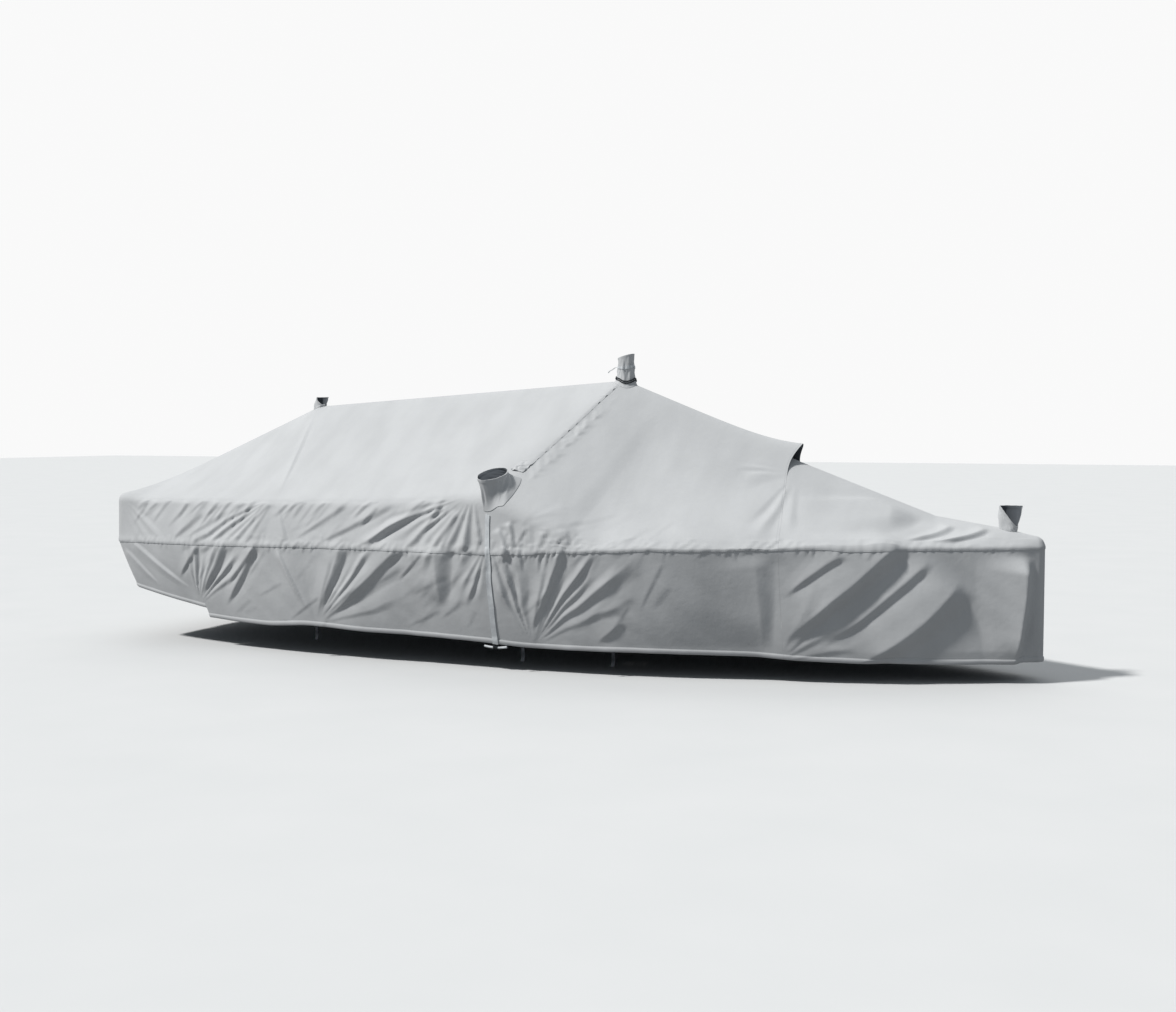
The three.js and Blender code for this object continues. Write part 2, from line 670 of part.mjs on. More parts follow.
function collarPoint(angle, t, shift) {
  const foot = COLLAR_BASE + shift;
  const low = seatOn(roofAt(foot * Math.cos(angle), foot * Math.sin(angle)));
  const x = (COLLAR_TOP.radiusX + shift) * Math.cos(angle);
  const y = (COLLAR_TOP.radiusY + shift) * Math.sin(angle);
  const high = new THREE.Vector3(x, y, COLLAR_TOP.z + COLLAR_TOP.slant * x);
  const point = low.clone().lerp(high, 1 - (1 - t) ** COLLAR_NECK);
  const wave = Math.sin(COLLAR_FOLD.count * angle + COLLAR_FOLD.twist * t);
  const fold = COLLAR_FOLD.depth * wave * Math.sin(Math.PI * t);
  point.x += fold * Math.cos(angle);
  point.y += fold * Math.sin(angle);
  point.z = mix(low.z, high.z, t);
  return point;
}

// Ring of cloth or cord that follows the collar between two rows
function collarRing(rows, inside, thickness) {
  return sheetGeometry([turn(0, 2 * Math.PI, COLLAR_SIDES).map((angle) => rows.map((t) => ({
    outer: collarPoint(angle, t, inside + thickness),
    under: collarPoint(angle, t, inside),
  })))]);
}

function tieTail() {
  const start = collarPoint(Math.PI, (TIE_ROWS[0] + TIE_ROWS[1]) / 2, GAP + TIE_THICKNESS);
  start.x -= GAP;
  const strip = Array.from({ length: TIE_TAIL.steps + 1 }, (_, i) => {
    const share = i / TIE_TAIL.steps;
    const middle = start.clone();
    middle.x -= TIE_TAIL.length * share;
    middle.z -= TIE_TAIL.drop * share * share;
    return [-0.5, 0.5].map((half) => {
      const outer = middle.clone();
      outer.y += half * TIE_TAIL.width;
      const under = outer.clone();
      under.z -= TIE_TAIL.thickness;
      return { outer, under };
    });
  });
  return sheetGeometry([strip]);
}

// Boot on the ridge, slit at its front, where its rim falls away to starboard
function ridgeBoot(hole, boot) {
  const base = (angle, inset) => seatOn(roofAt(
    hole.x + (boot.radiusX - inset) * Math.cos(angle),
    hole.y + (boot.radiusY - inset) * Math.sin(angle),
  ));
  const rim = (angle, inset) => {
    const point = new THREE.Vector3(
      boot.rimX + (boot.rimRadiusX - inset) * Math.cos(angle),
      (boot.rimRadiusY - inset) * Math.sin(angle),
      boot.z,
    );
    const front = smooth((angle - Math.PI) / (Math.PI - BOOT_SLIT));
    return point.lerp(base(angle, inset), BOOT_FALL * front);
  };
  const angles = turn(BOOT_SLIT, 2 * Math.PI - BOOT_SLIT, BOOT_SIDES);
  return sheetGeometry([bootPatch(angles, BOOT_ROWS, base, rim)]);
}

// Boot of a shroud, standing over the knee with a wide mouth that slants with the roof
function shroudBoot(side) {
  const { base: foot, rim: mouth } = SHROUD_BOOT;
  const base = (angle, inset) => {
    const share = 1 - inset / foot.foreX;
    const q = foot.row + share * (foot.foreRow * Math.cos(angle) + foot.inRow * Math.sin(angle));
    const x = foot.x + share * (foot.foreX * Math.cos(angle) + foot.inX * Math.sin(angle));
    return seatOn(clothAt(placeAt(x, () => q), q, side), SHROUD_BOOT_SEAT);
  };
  const rim = (angle, inset) => {
    const forward = (mouth.radiusX - inset) * Math.cos(angle);
    const inward = (mouth.radiusY - inset) * Math.sin(angle);
    const z = mouth.z + mouth.slantX * forward + mouth.slantY * inward;
    return new THREE.Vector3(mouth.x + forward, side * (mouth.y - inward), z);
  };
  return sheetGeometry([bootPatch(turn(0, 2 * Math.PI, BOOT_SIDES), BOOT_ROWS, base, rim)]);
}

// Flat tab that hangs from the straight stretch of hem nearest to a place along the boat
function hemTab(x, side, from, to) {
  const places = columns(from, to);
  const hem = places.map((u) => {
    const { outer, under } = cloth(u, 0, side);
    return outer.add(under).multiplyScalar(0.5);
  });
  const after = hem.findIndex((point) => point.x > x);
  const [start, end] = [hem[after - 1], hem[after]];
  const half = TAB.width / 2 / start.distanceTo(end);
  const strip = [0.5 - half, 0.5 + half].map((share) => [0, 1].map((row) => {
    const outer = start.clone().lerp(end, share);
    outer.z -= GAP + row * TAB.length;
    const under = outer.clone();
    outer.y += (side * TAB.thickness) / 2;
    under.y -= (side * TAB.thickness) / 2;
    return { outer, under };
  }));
  return sheetGeometry([strip]);
}

// Short cord under the hem at the foot of the closure
function hemCord(side) {
  const cord = new THREE.CylinderGeometry(HEM_CORD.radius, HEM_CORD.radius, HEM_CORD.length, HEM_CORD.sides);
  cord.rotateZ(Math.PI / 2);
  const ends = [-1, 0, 1].map((end) => cloth(closurePlace((end * HEM_CORD.length) / 2), 0, side));
  const middle = ends[1].outer.clone().add(ends[1].under).multiplyScalar(0.5);
  const lowest = Math.min(...ends.flatMap(({ outer, under }) => [outer.z, under.z]));
  cord.translate(middle.x, middle.y, lowest - GAP - HEM_CORD.radius);
  return cord;
}

const group = new THREE.Group();
function addPart(name, geometry, material) {
  geometry.computeVertexNormals();
  const mesh = new THREE.Mesh(geometry, material);
  mesh.name = name;
  group.add(mesh);
}

addPart('roof_aft', aftRoof(), canvas());
addPart('roof_mid', midRoof(), canvas());
addPart('roof_bow', bowRoof(), canvas());
addPart('stern_gable', sternGable(), canvas());
addPart('stern_skirt', sternSkirt(), canvas());
for (const [sideName, side] of [['starboard', -1], ['port', 1]]) {
  addPart(`skirt_aft_${sideName}`, sideSkirt(LINE.quarter, LINE.closure, side), canvas());
  addPart(`skirt_mid_${sideName}`, sideSkirt(LINE.closure, LINE.peak, side), canvas());
  addPart(`skirt_bow_${sideName}`, sideSkirt(LINE.peak, LINE.stem, side), canvas());
  addPart(`closure_flap_${sideName}`, closureFlap(side), canvas());
  addPart(`closure_strap_${sideName}`, closureStrap(side), paleWebbing());
  addPart(`closure_cord_${sideName}`, hemCord(side), paleWebbing());
  addPart(`shroud_boot_${sideName}`, shroudBoot(side), canvas());
  TAB_PLACES.forEach((x, number) => {
    const aft = x < PATTERN[LINE.closure].hem;
    const lines = aft ? [LINE.quarter, LINE.closure] : [LINE.closure, LINE.peak];
    addPart(`hem_tab_${number + 1}_${sideName}`, hemTab(x, side, ...lines), darkWebbing());
  });
}
addPart('mast_collar', collarRing(COLLAR_ROWS, -CLOTH, CLOTH), canvas());
addPart('mast_collar_drawcord', collarRing(DRAWCORD_ROWS, GAP, TIE_THICKNESS), darkWebbing());
addPart('mast_collar_tie', collarRing(TIE_ROWS, GAP, TIE_THICKNESS), paleWebbing());
addPart('mast_collar_tie_tail', tieTail(), paleWebbing());
addPart('forestay_boot', ridgeBoot(FORESTAY_HOLE, FORESTAY_BOOT), canvas());
addPart('boom_end_boot', ridgeBoot(BOOM_END_HOLE, BOOM_END_BOOT), canvas());

export default group;
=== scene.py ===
# Tent-like canvas cover of a small keelboat, drawn over the boom and hanging down the topsides, in metres.
# +X runs to the bow, +Y to port and +Z up. The origin is under the ridge, on the axis of the mast.
import math
from collections import namedtuple

import bpy
import numpy as np
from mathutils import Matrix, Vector


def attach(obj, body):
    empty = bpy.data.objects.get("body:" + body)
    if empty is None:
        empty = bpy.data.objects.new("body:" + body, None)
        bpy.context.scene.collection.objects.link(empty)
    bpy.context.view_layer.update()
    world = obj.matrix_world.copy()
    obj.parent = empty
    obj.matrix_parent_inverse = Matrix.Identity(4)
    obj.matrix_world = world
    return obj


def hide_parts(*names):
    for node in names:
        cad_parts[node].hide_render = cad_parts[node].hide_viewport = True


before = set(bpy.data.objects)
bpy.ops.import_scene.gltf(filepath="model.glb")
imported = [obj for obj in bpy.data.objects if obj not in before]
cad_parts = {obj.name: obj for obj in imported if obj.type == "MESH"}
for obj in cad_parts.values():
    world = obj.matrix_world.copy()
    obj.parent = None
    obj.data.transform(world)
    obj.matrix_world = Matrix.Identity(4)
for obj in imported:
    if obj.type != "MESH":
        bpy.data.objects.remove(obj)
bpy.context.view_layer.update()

STARBOARD, PORT = -1, 1
SIDES = {"starboard": STARBOARD, "port": PORT}

# Cloth: thickness as drawn, the gap between cloths that meet edge to edge, and that under what sits on it
CLOTH, EDGE_GAP, SEAT = 0.0025, 0.0003, 0.001
# Points that agree to a hundredth of a millimetre are joined, and edges sharper than an angle stay sharp
JOIN_STEPS, SHARP_ANGLE = 1e5, math.radians(70)
# Rounding of the ridge and of the knee, how far the knee stands in from the rail, at most and as a share of
# the band's height, and the share of the band that its rounding may take
RIDGE_RADIUS, KNEE_RADIUS = 0.070, 0.060
KNEE_INSET, KNEE_INSET_SHARE, KNEE_ARM_SHARE = 0.040, 0.12, 0.95
# Where the band is low it slopes like the roof: height of such a band, its slope, the share of the half
# beam that it may take and the spread of its knee
LOW_KNEE, LOW_KNEE_INSET, LOW_KNEE_BEAM, LOW_KNEE_SPREAD = 0.150, 1.1, 0.4, 1.5
# Belly of the skirts and sag of the roofs, each with the half beam from which it is full
SKIRT_BULGE, SKIRT_BULGE_BEAM = 0.012, 0.400
ROOF_SAG, ROOF_SAG_BEAM = 0.018, 0.600

# Rolled hem: height of the roll and how far it stands out on each side
HEM_ROLL = 0.034
HEM_SWELL = 0.006
# The roof's lower edge laps over the skirt: depth of the lap, how far it stands out, and where that fades
LAP = 0.014
LAP_LIFT = 0.0032
LAP_FADE = 0.045

# Holes in the roofs for the mast, the forestay, the boom's lift and the shrouds: x, y, radius
MAST_HOLE = (0.000, 0.000, 0.062)
FORESTAY_HOLE = (2.690, 0.000, 0.020)
BOOM_END_HOLE = (-2.655, 0.000, 0.020)
SHROUD_HOLES = ((-0.460, -1.095, 0.018), (-0.460, 1.095, 0.018))

# Closure flap on the roof: reach abaft and before the closure, rows, steps across and along it, and its gap
FLAP_AFT, FLAP_FORE = -0.060, 0.022
FLAP_ROWS, FLAP_STEPS, FLAP_SEAT = (2.22, 2.92), (15, 300), 0.0004
# Scallops of its fore edge: depth, lift, and the share of the cloth's thickness that is left at the edge
FLAP_SCALLOP, FLAP_LIFT, FLAP_EDGE_SHARE = 0.006, 0.0042, 0.30
# Where a scallop begins on a wave and how fast it grows, then how many show, how unevenly and at what size
DASH_START, DASH_GROWTH = 0.30, 0.65
DASH_SHARE, DASH_CHANCE, DASH_SIZE = 0.55, 0.9, 1.4
# Bunched foot of the flap: depth, size and slant of its lumps, and the rows over which they reach and fade
FLAP_BUNCH, FLAP_BUNCH_SIZE, FLAP_BUNCH_SLANT = 0.014, 0.030, 0.4
FLAP_BUNCH_ROWS, FLAP_BUNCH_FADE = 0.12, 0.10
# Closure strap down the side: half widths at the hem and at its top, top row, steps, waver and its size
STRAP_HALF_FOOT, STRAP_HALF_TOP = 0.021, 0.015
STRAP_TOP_ROW, STRAP_STEPS = 1.72, (7, 140)
STRAP_WAVER, STRAP_WAVER_SIZE = 0.003, 0.09
# Gap under the strap, and its climb over the rolled hem: height of the skirt there, and reach in rolls
STRAP_SEAT, STRAP_SKIRT, STRAP_CLIMB = 0.0042, 0.6, 1.6
# Short thick cord under the hem at the foot of the closure, and the dark lashing round its middle
CORD_RADIUS, CORD_LENGTH, CORD_SAG, CORD_STEPS = 0.008, 0.170, 0.008, 25
LASHING_RADIUS, LASHING_TURNS, LASHING_LENGTH = 0.0040, 4, 0.034
LASHING_STEPS, LASHING_SIDES = 24, 8

# Collar of the mast: radius on the roof, radii and height at the top, slant of the top and how it necks in
COLLAR_BASE = 0.084
COLLAR_TOP_X, COLLAR_TOP_Y, COLLAR_TOP_Z = 0.060, 0.056, 0.177
COLLAR_SLANT, COLLAR_NECK = 0.29, 6
COLLAR_STEPS = (120, 44)
# Wrinkles of the collar: depth, count round it, twist up it; then its lumps and their slant up the wall
COLLAR_WRINKLES = ((0.0030, 5, 6.0), (0.0016, 11, -9.0), (0.0010, 17, 4.0))
COLLAR_LUMP, COLLAR_LUMP_SIZE, COLLAR_LUMP_SLANT = 0.0060, 0.030, (0.06, -0.10)
# Rolled rims: how far they swell, where on the wall they begin and the run up to them
COLLAR_RIM, BOOT_RIM = (0.0015, 0.93, 0.03), (0.0022, 0.86, 0.05)
# Drawcords round the foot of the collar, and the tie round its middle
DRAWCORD_ROWS, DRAWCORD_RADIUS, DRAWCORD_SIDES = (0.165, 0.225), 0.0042, 10
TIE_ROWS, TIE_STEPS, TIE_THICKNESS, TIE_SEAT = (0.58, 0.66), 5, 0.003, 0.0008
# Tail of the tie, then its sway to the side and its wave up and down: reach, and radians over its length
TAIL_WIDTH, TAIL_LENGTH, TAIL_DROP, TAIL_HALF = 0.014, 0.070, 0.040, 0.0012
TAIL_STEPS, TAIL_SWAY, TAIL_WAVE = (24, 5), (0.006, 4), (0.004, 9)

# Boots on the ridge: radii on the roof, then x, radii and height of the rim
FORESTAY_BOOT = {"radii": (0.058, 0.040), "rim_x": 2.708, "rim_radii": (0.072, 0.046), "rim_z": -0.846}
BOOM_END_BOOT = {"radii": (0.054, 0.036), "rim_x": -2.632, "rim_radii": (0.050, 0.034), "rim_z": -0.092}
# Slit in their fore side, as half an angle, and how far the rim falls towards its starboard edge
BOOT_SLIT, BOOT_FALL, RIDGE_BOOT_STEPS = 0.35, 0.8, (72, 28)
# Boots of the shrouds: base on the cloth by x and row, and how far its lower fore quarter is drawn in
SHROUD_BASE = {"x": -0.460, "row": 1.98, "fore_x": 0.078, "fore_row": 0.08, "in_x": 0.046, "in_row": 0.19}
BOOT_CUT, SHROUD_BOOT_STEPS = 0.40, (96, 40)
# Their wide mouth: place, radii, turn of its fore end inboard in degrees, slants forward and inboard
SHROUD_MOUTH = {
    "x": -0.518, "y": 1.090, "z": -0.650, "radii": (0.112, 0.067), "turn": 57, "slants": (-0.14, 0.42),
}
# Ripples of the boots: depth on each kind, slant up the wall, coarse and fine size, and share of the fine
# ones, then what is left of them at the ends of the wall and where they set in
SHROUD_RIPPLE, RIDGE_BOOT_RIPPLE = 0.0050, 0.0045
RIPPLE_SLANT, RIPPLE_SIZES, RIPPLE_FINE = (0.9, -0.6), (0.45, 0.20), 0.6
RIPPLE_LEAST, RIPPLE_START = 0.45, 0.3

# Rows of stitches: share of the lap's depth, height over the rolled hem, and place beside the peak seam
STITCH_ROW, HEM_STITCH = 0.5, 0.006
PEAK_STITCH_EDGE, PEAK_STITCH_STEPS = 0.008, 160

# Webbing tabs under the hem
TAB_PLACES = (-1.930, -0.300, 0.330)
TAB_WIDTH, TAB_THICKNESS, TAB_LENGTH, TAB_STEPS = 0.025, 0.003, 0.095, (6, 20)
# Waist of a tab: how far it is drawn in, where and over which share; then its sway and wave, as on the tail
TAB_WAIST, TAB_WAIST_PLACE, TAB_WAIST_LENGTH = 0.25, 0.12, 0.1
TAB_SWAY, TAB_WAVE = (0.004, 5), (0.003, 7)

# Stern: rounding of its corners, what is left off the rounding, and the crown of its hem
CORNER_RADIUS, CORNER_CUT, STERN_CROWN = 0.090, 0.010, 0.030
# Stern skirt: slack between its edges and ripples at the hem, each with its size and its stretch upwards
STERN_SLACK, STERN_SLACK_SIZE, STERN_SLACK_STRETCH = 0.010, 0.160, 0.4
STERN_RIPPLE, STERN_RIPPLE_SIZE, STERN_RIPPLE_STRETCH = 0.011, 0.080, 0.1
# Gable: its slack and its slanting creases, its gap to the roof, the share of it that its edge holds, and
# how far it reaches past the band's edge
GABLE_SLACK, GABLE_SLACK_SIZE = 0.012, 0.200
GABLE_CREASE, GABLE_CREASE_SIZE, GABLE_CREASE_SLANT = 0.006, 0.050, (0.8, 0.25)
GABLE_GAP, GABLE_HELD, GABLE_REACH = 0.0016, 0.15, 0.0024
# Half angle of the bow, the angle left open between the skirts at the stem, and the cloth's run per radian
BOW_ANGLE, NOSE_GAP, NOSE_RUN = math.radians(32), 0.004, 0.06

# Peaked vent in the forward edge of the mid roof: rise, width, how fast it grows towards that edge and how
# much of it grows only there; then the reach, width and growth of its brim
VENT_RISE, VENT_WIDTH, VENT_GROWTH, VENT_LIP = 0.092, 0.115, 8, 0.45
BRIM_REACH, BRIM_WIDTH, BRIM_GROWTH = 0.092, 0.090, 6

# Pattern lines from stern to stem, and where each crosses the ridge, the knee, the rail seam and the hem
PATTERN = range(6)
STERN, QUARTER, HIP, CLOSURE, PEAK, STEM = PATTERN
LINE_X = {
    "ridge": (-4.000, -3.400, -2.660, 0.000, 1.225, 2.850),
    "knee": (-4.000, -3.260, -2.310, -0.520, 1.385, 2.887),
    "seam": (-3.965, -3.200, -2.250, -0.505, 1.392, 2.887),
    "hem": (-3.805, -2.961, -2.150, -0.495, 1.405, 2.890),
    "stern_hem": (-3.805, -2.990, -2.990, -2.990, -2.990, -2.990),
}
# Rows across the cloth
HEM, SEAM, KNEE, RIDGE = range(4)

# Ridge: x, z
RIDGE_LINE = (
    (-4.000, -0.713), (-2.660, -0.170), (0.000, 0.000), (1.300, -0.575), (2.220, -0.925), (2.640, -0.993),
    (2.850, -1.040),
)
# Half beam at the rail seam: x, y
BEAM_LINE = (
    (-4.000, 0.895), (-3.400, 1.000), (-2.600, 1.100), (-1.800, 1.170), (-1.000, 1.200), (-0.400, 1.190),
    (0.200, 1.140), (0.800, 1.030), (1.400, 0.840), (2.000, 0.575), (2.500, 0.290), (2.800, 0.113),
    (2.890, 0.058),
)
# Rail seam: x, z
SEAM_LINE = (
    (-4.000, -1.215), (-3.000, -1.200), (-2.000, -1.178), (-1.000, -1.170), (-0.400, -1.170),
    (0.400, -1.125), (1.400, -1.103), (2.000, -1.104), (2.600, -1.108), (2.890, -1.106),
)
# Height of the knee over the rail seam: x, rise
KNEE_LINE = (
    (-4.000, 0.353), (-3.000, 0.345), (-2.300, 0.333), (-1.350, 0.347), (-0.620, 0.370), (-0.300, 0.270),
    (0.000, 0.125), (0.200, 0.060), (0.400, 0.045), (2.000, 0.036), (2.600, 0.044), (2.890, 0.050),
)
# Hem of the side skirts and of the stern skirt: x, z
HEM_LINE = (
    (-3.000, -1.760), (-2.400, -1.780), (-2.000, -1.755), (-1.500, -1.773), (-0.600, -1.796),
    (-0.250, -1.818), (0.600, -1.818), (1.400, -1.825), (2.200, -1.836), (2.890, -1.850),
)
STERN_HEM_LINE = ((-3.805, -1.572), (-3.400, -1.635), (-2.990, -1.693))
# How far the hem tucks in under the rail seam: x, tuck
TUCK_LINE = (
    (-3.800, 0.060), (-2.000, 0.055), (0.000, 0.060), (1.400, 0.090), (2.000, 0.080), (2.500, 0.040),
    (2.890, 0.004),
)

# Single folds, each along a crest from a top to a foot, by x along the boat and rise over the rail seam:
# top x, top rise, foot x, foot rise, bow of the crest towards the stem, width of its steep side, depth
FOLDS = (
    # Aft skirt and hip
    (-1.160, 0.050, -1.830, -0.500, 0.015, 0.066, 0.024),
    (-1.660, 0.040, -1.915, -0.490, 0.010, 0.058, 0.019),
    (-1.000, -0.010, -1.240, -0.240, 0.000, 0.026, 0.006),
    (-2.250, -0.020, -1.990, -0.480, 0.000, 0.024, 0.012),
    # Band above the rail
    (-0.930, 0.370, -1.600, -0.020, 0.012, 0.036, 0.010),
    (-0.750, 0.280, -0.890, -0.040, 0.000, 0.050, 0.014),
    (-1.250, 0.330, -1.930, 0.000, 0.000, 0.044, 0.010),
    (-1.660, 0.320, -2.120, 0.030, 0.000, 0.038, 0.008),
    (-2.750, 0.270, -3.180, 0.040, 0.000, 0.046, 0.009),
    (-3.010, 0.260, -3.330, 0.010, 0.000, 0.050, 0.011),
    # Quarter
    (-2.750, 0.030, -3.040, -0.430, 0.012, 0.060, 0.019),
    (-2.440, 0.020, -2.800, -0.500, 0.012, 0.048, 0.015),
    (-3.020, 0.000, -3.260, -0.300, 0.000, 0.034, 0.010),
    (-2.440, 0.000, -2.760, -0.330, 0.000, 0.034, 0.010),
    (-3.790, 0.000, -3.120, -0.400, 0.000, 0.030, 0.010),
    (-3.870, -0.070, -3.470, -0.380, 0.000, 0.026, 0.007),
    # Skirt on both sides of the closure strap
    (-0.905, 0.030, -0.890, -0.400, 0.000, 0.130, 0.030),
    (-0.440, 0.170, -0.330, -0.060, 0.000, 0.030, 0.014),
    (-0.360, 0.210, -0.300, -0.010, 0.000, 0.030, 0.016),
    # Mid skirt
    (0.030, 0.030, -0.240, -0.550, 0.010, 0.052, 0.016),
    (0.420, -0.470, 0.220, -0.630, 0.000, 0.050, 0.008),
    (1.250, -0.030, 1.290, -0.700, 0.000, 0.120, 0.015),
    # Bow skirt
    (1.780, -0.020, 1.400, -0.330, -0.010, 0.044, 0.012),
    (2.120, 0.070, 1.390, -0.620, 0.000, 0.115, 0.044),
    (2.270, -0.060, 1.580, -0.660, 0.020, 0.055, 0.017),
    (2.440, -0.180, 1.720, -0.780, 0.070, 0.150, 0.044),
    (2.830, -0.050, 2.710, -0.900, 0.000, 0.110, 0.085),
    # Hip of the aft roof
    (-2.640, 1.580, -2.330, 0.370, 0.000, 0.028, 0.008),
    # Bow roof before the stem
    (1.930, 0.640, 2.000, 0.160, 0.000, 0.240, 0.038),
    (2.580, 0.210, 2.250, 0.055, 0.045, 0.040, 0.018),
    (2.360, 0.280, 2.090, 0.060, 0.040, 0.040, 0.016),
)
# Shape across a fold: widths of its gentle side and its lee as shares of the steep side, depth of its
# trough, how sharp its crest and how round its steep side is
FOLD_GENTLE, FOLD_LEE, FOLD_TROUGH, FOLD_CREST, FOLD_ROUND = 2.8, 2.0, 0.45, 1.4, 0.6
# Shares of a fold's length over which it grows at its top and dies away at its foot, its width at the foot,
# and how late it narrows
FOLD_GROW, FOLD_DIE, FOLD_FOOT_WIDTH, FOLD_TAPER = 0.15, 0.40, 0.45, 1.5

# Fans of folds that spread from where the cloth is held: x and rise of that place, on which side of a crest
# the steep side is, then for each crest its heading in degrees from the bow upwards, its reach and strength
BELOW, ABOVE = -1, 1
FANS = (
    # Tie under the aft skirt
    (-1.930, -0.570, BELOW, (
        (16, 0.80, 0.20), (33, 1.10, 0.50), (40, 0.55, 0.50), (48, 0.86, 0.90), (55, 0.60, 0.35),
        (63, 0.74, 0.50), (73, 0.60, 0.35), (119, 0.66, 0.55),
    )),
    # Shroud boot, over the band
    (-0.640, 0.420, ABOVE, (
        (197, 0.90, 0.20), (204, 1.10, 1.00), (211, 0.70, 0.45), (218, 0.86, 0.90), (226, 0.60, 0.30),
        (235, 0.70, 0.70), (247, 0.56, 1.15), (262, 0.54, 1.25), (280, 0.42, 1.20),
    )),
    # Tie under the mid skirt
    (-0.230, -0.640, BELOW, (
        (24, 0.80, 0.25), (37, 1.00, 0.75), (45, 0.70, 0.55), (52, 0.86, 1.00), (60, 0.62, 0.40),
        (67, 0.72, 0.50), (77, 0.60, 0.40), (98, 0.66, 0.60), (107, 0.72, 1.00), (117, 0.62, 0.60),
    )),
    # Hip, over the band
    (-2.310, 0.370, ABOVE, (
        (203, 1.05, 0.70), (210, 0.90, 0.90), (218, 0.60, 0.45), (225, 0.66, 0.80), (236, 0.52, 0.65),
        (291, 0.46, 0.80),
    )),
    # Quarter
    (-3.080, -0.520, BELOW, (
        (36, 0.60, 0.45), (46, 0.70, 0.90), (55, 0.50, 0.30), (64, 0.66, 0.70), (75, 0.48, 0.45),
        (86, 0.60, 0.95), (97, 0.50, 0.45),
    )),
    # After corner of the bow skirt
    (1.370, -0.740, BELOW, (
        (14, 0.50, 0.25), (34, 0.60, 0.35), (47, 0.60, 0.35), (66, 0.60, 0.15),
    )),
    # Head of the closure strap
    (-0.500, 0.090, ABOVE, (
        (236, 0.45, 0.50), (248, 0.52, 0.80), (258, 0.46, 0.60), (286, 0.52, 0.90), (297, 0.46, 0.80),
        (308, 0.34, 0.45),
    )),
    # Corner of the stern
    (-3.960, 0.350, ABOVE, (
        (296, 0.45, 0.25), (308, 0.55, 0.35), (318, 0.60, 0.40), (328, 0.65, 0.50),
    )),
    # Foot of the slit beside the vent
    (1.325, 0.800, ABOVE, (
        (158, 0.34, 0.50), (172, 0.40, 0.70), (186, 0.34, 0.60), (250, 0.60, 0.30), (263, 0.75, 0.40),
        (278, 0.70, 0.30),
    )),
)
# Height of a fan's fold against its width, share of that width on its steep side, and the degrees of smooth
# cloth beside its outer crests
FAN_HEIGHT, FAN_STEEP, FAN_MARGIN = 0.22, 0.42, 12
# Distance over which a crest grows from the tie, and the share of its reach over which it dies away
FAN_START, FAN_FADE = 0.150, 0.35
# Least width of a steep side, and the share it may take of a narrow fold
FAN_LEAST, FAN_EVEN = 0.020, 0.60
# How the crests waver: degrees, and size along the cloth
FAN_WAVER, FAN_WAVER_SIZE = 2.2, 0.210
# The rail seam holds the cloth: the share of a fan's fold that it takes away, and how far from it
SEAM_HOLD, SEAM_HOLD_REACH = 0.70, 0.030
# Wandering of the rail seam: height, size along the boat, where it begins and ends, and how it fades there
SEAM_WAVER, SEAM_WAVER_SIZE = 0.008, 0.120
SEAM_WAVER_SPAN, SEAM_WAVER_FADE = (-0.400, 2.100), 0.300
# Where the folds fade out: at the stern, before the stem and below the ridge
FOLD_STERN, FOLD_STERN_FADE = -3.980, 0.200
FOLD_STEM, FOLD_STEM_FADE = 2.880, 0.090
FOLD_TOP_ROW, FOLD_TOP_FADE = 2.9, 0.3
# The port side has the same folds, a little shallower and shifted to and fro
PORT_SHIFT, PORT_WAVE, PORT_SHARE = 0.070, 0.450, 0.85

# Ladder of short wrinkles on the mid roof, along the fore edge of the closure flap: rows, pitch, how far a
# wrinkle may stray in pitches, and its distance before the closure
LADDER_ROWS, LADDER_PITCH, LADDER_STRAY, LADDER_AHEAD = (2.22, 2.88), 0.085, 0.25, 0.070
# Length, width and depth of a wrinkle, then spans of its heading in degrees and its shares of these sizes
LADDER_LENGTH, LADDER_WIDTH, LADDER_DEPTH = 0.120, 0.026, 0.0120
LADDER_HEADING, LADDER_LENGTHS, LADDER_DEPTHS = (-80, -50), (0.7, 1.3), (0.4, 1.1)

# How far the knee stands in from the even band: x along the boat, reach
KNEE_LEAN_LINE = (
    (-4.000, 0.000), (-3.600, 0.030), (-1.200, 0.035), (-0.700, 0.020), (-0.400, 0.000), (2.890, 0.000),
)
# How far the hem stands out from the even skirt: x along the boat, reach; and how far down that is reached
LEAN_LINE = (
    (-4.000, 0.000), (-1.700, 0.000), (-1.150, -0.045), (-0.600, -0.050), (-0.100, -0.055), (0.300, -0.045),
    (0.900, -0.045), (1.250, -0.030), (1.450, 0.020), (1.900, 0.060), (2.300, 0.085), (2.600, 0.070),
    (2.800, 0.030), (2.890, 0.000),
)
LEAN_HEIGHT = 0.650

# Short folds across the rail seam, where it gathers the cloth: x along the boat, depth
PUCKER_LINE = (
    (-4.000, 0.0020), (-3.200, 0.0040), (-2.300, 0.0050), (-1.200, 0.0050), (-0.700, 0.0040),
    (-0.400, 0.0070), (0.150, 0.0060), (0.450, 0.0032), (1.000, 0.0036), (1.600, 0.0040), (2.500, 0.0030),
    (2.890, 0.0010),
)
# Spans of their pitch, heading in degrees, length and width, then of their share of the depth and of their
# rise as a share of the length
PUCKER_PITCH, PUCKER_HEADING = (0.030, 0.060), (40, 110)
PUCKER_LENGTH, PUCKER_WIDTH = (0.050, 0.130), (0.015, 0.025)
PUCKER_SHARE, PUCKER_RISE = (0.4, 1.2), (-0.3, 0.4)
# Small folds by chance: their number, and the spans of their measures in the order in which they are drawn.
# Crumpled cloth at the rail just before the closure
CRUMPLES = (26, {
    "heading": (45, 110), "length": (0.120, 0.250), "width": (0.017, 0.026), "depth": (0.003, 0.008),
    "x": (-0.400, 0.140), "rise": (-0.050, 0.110),
})
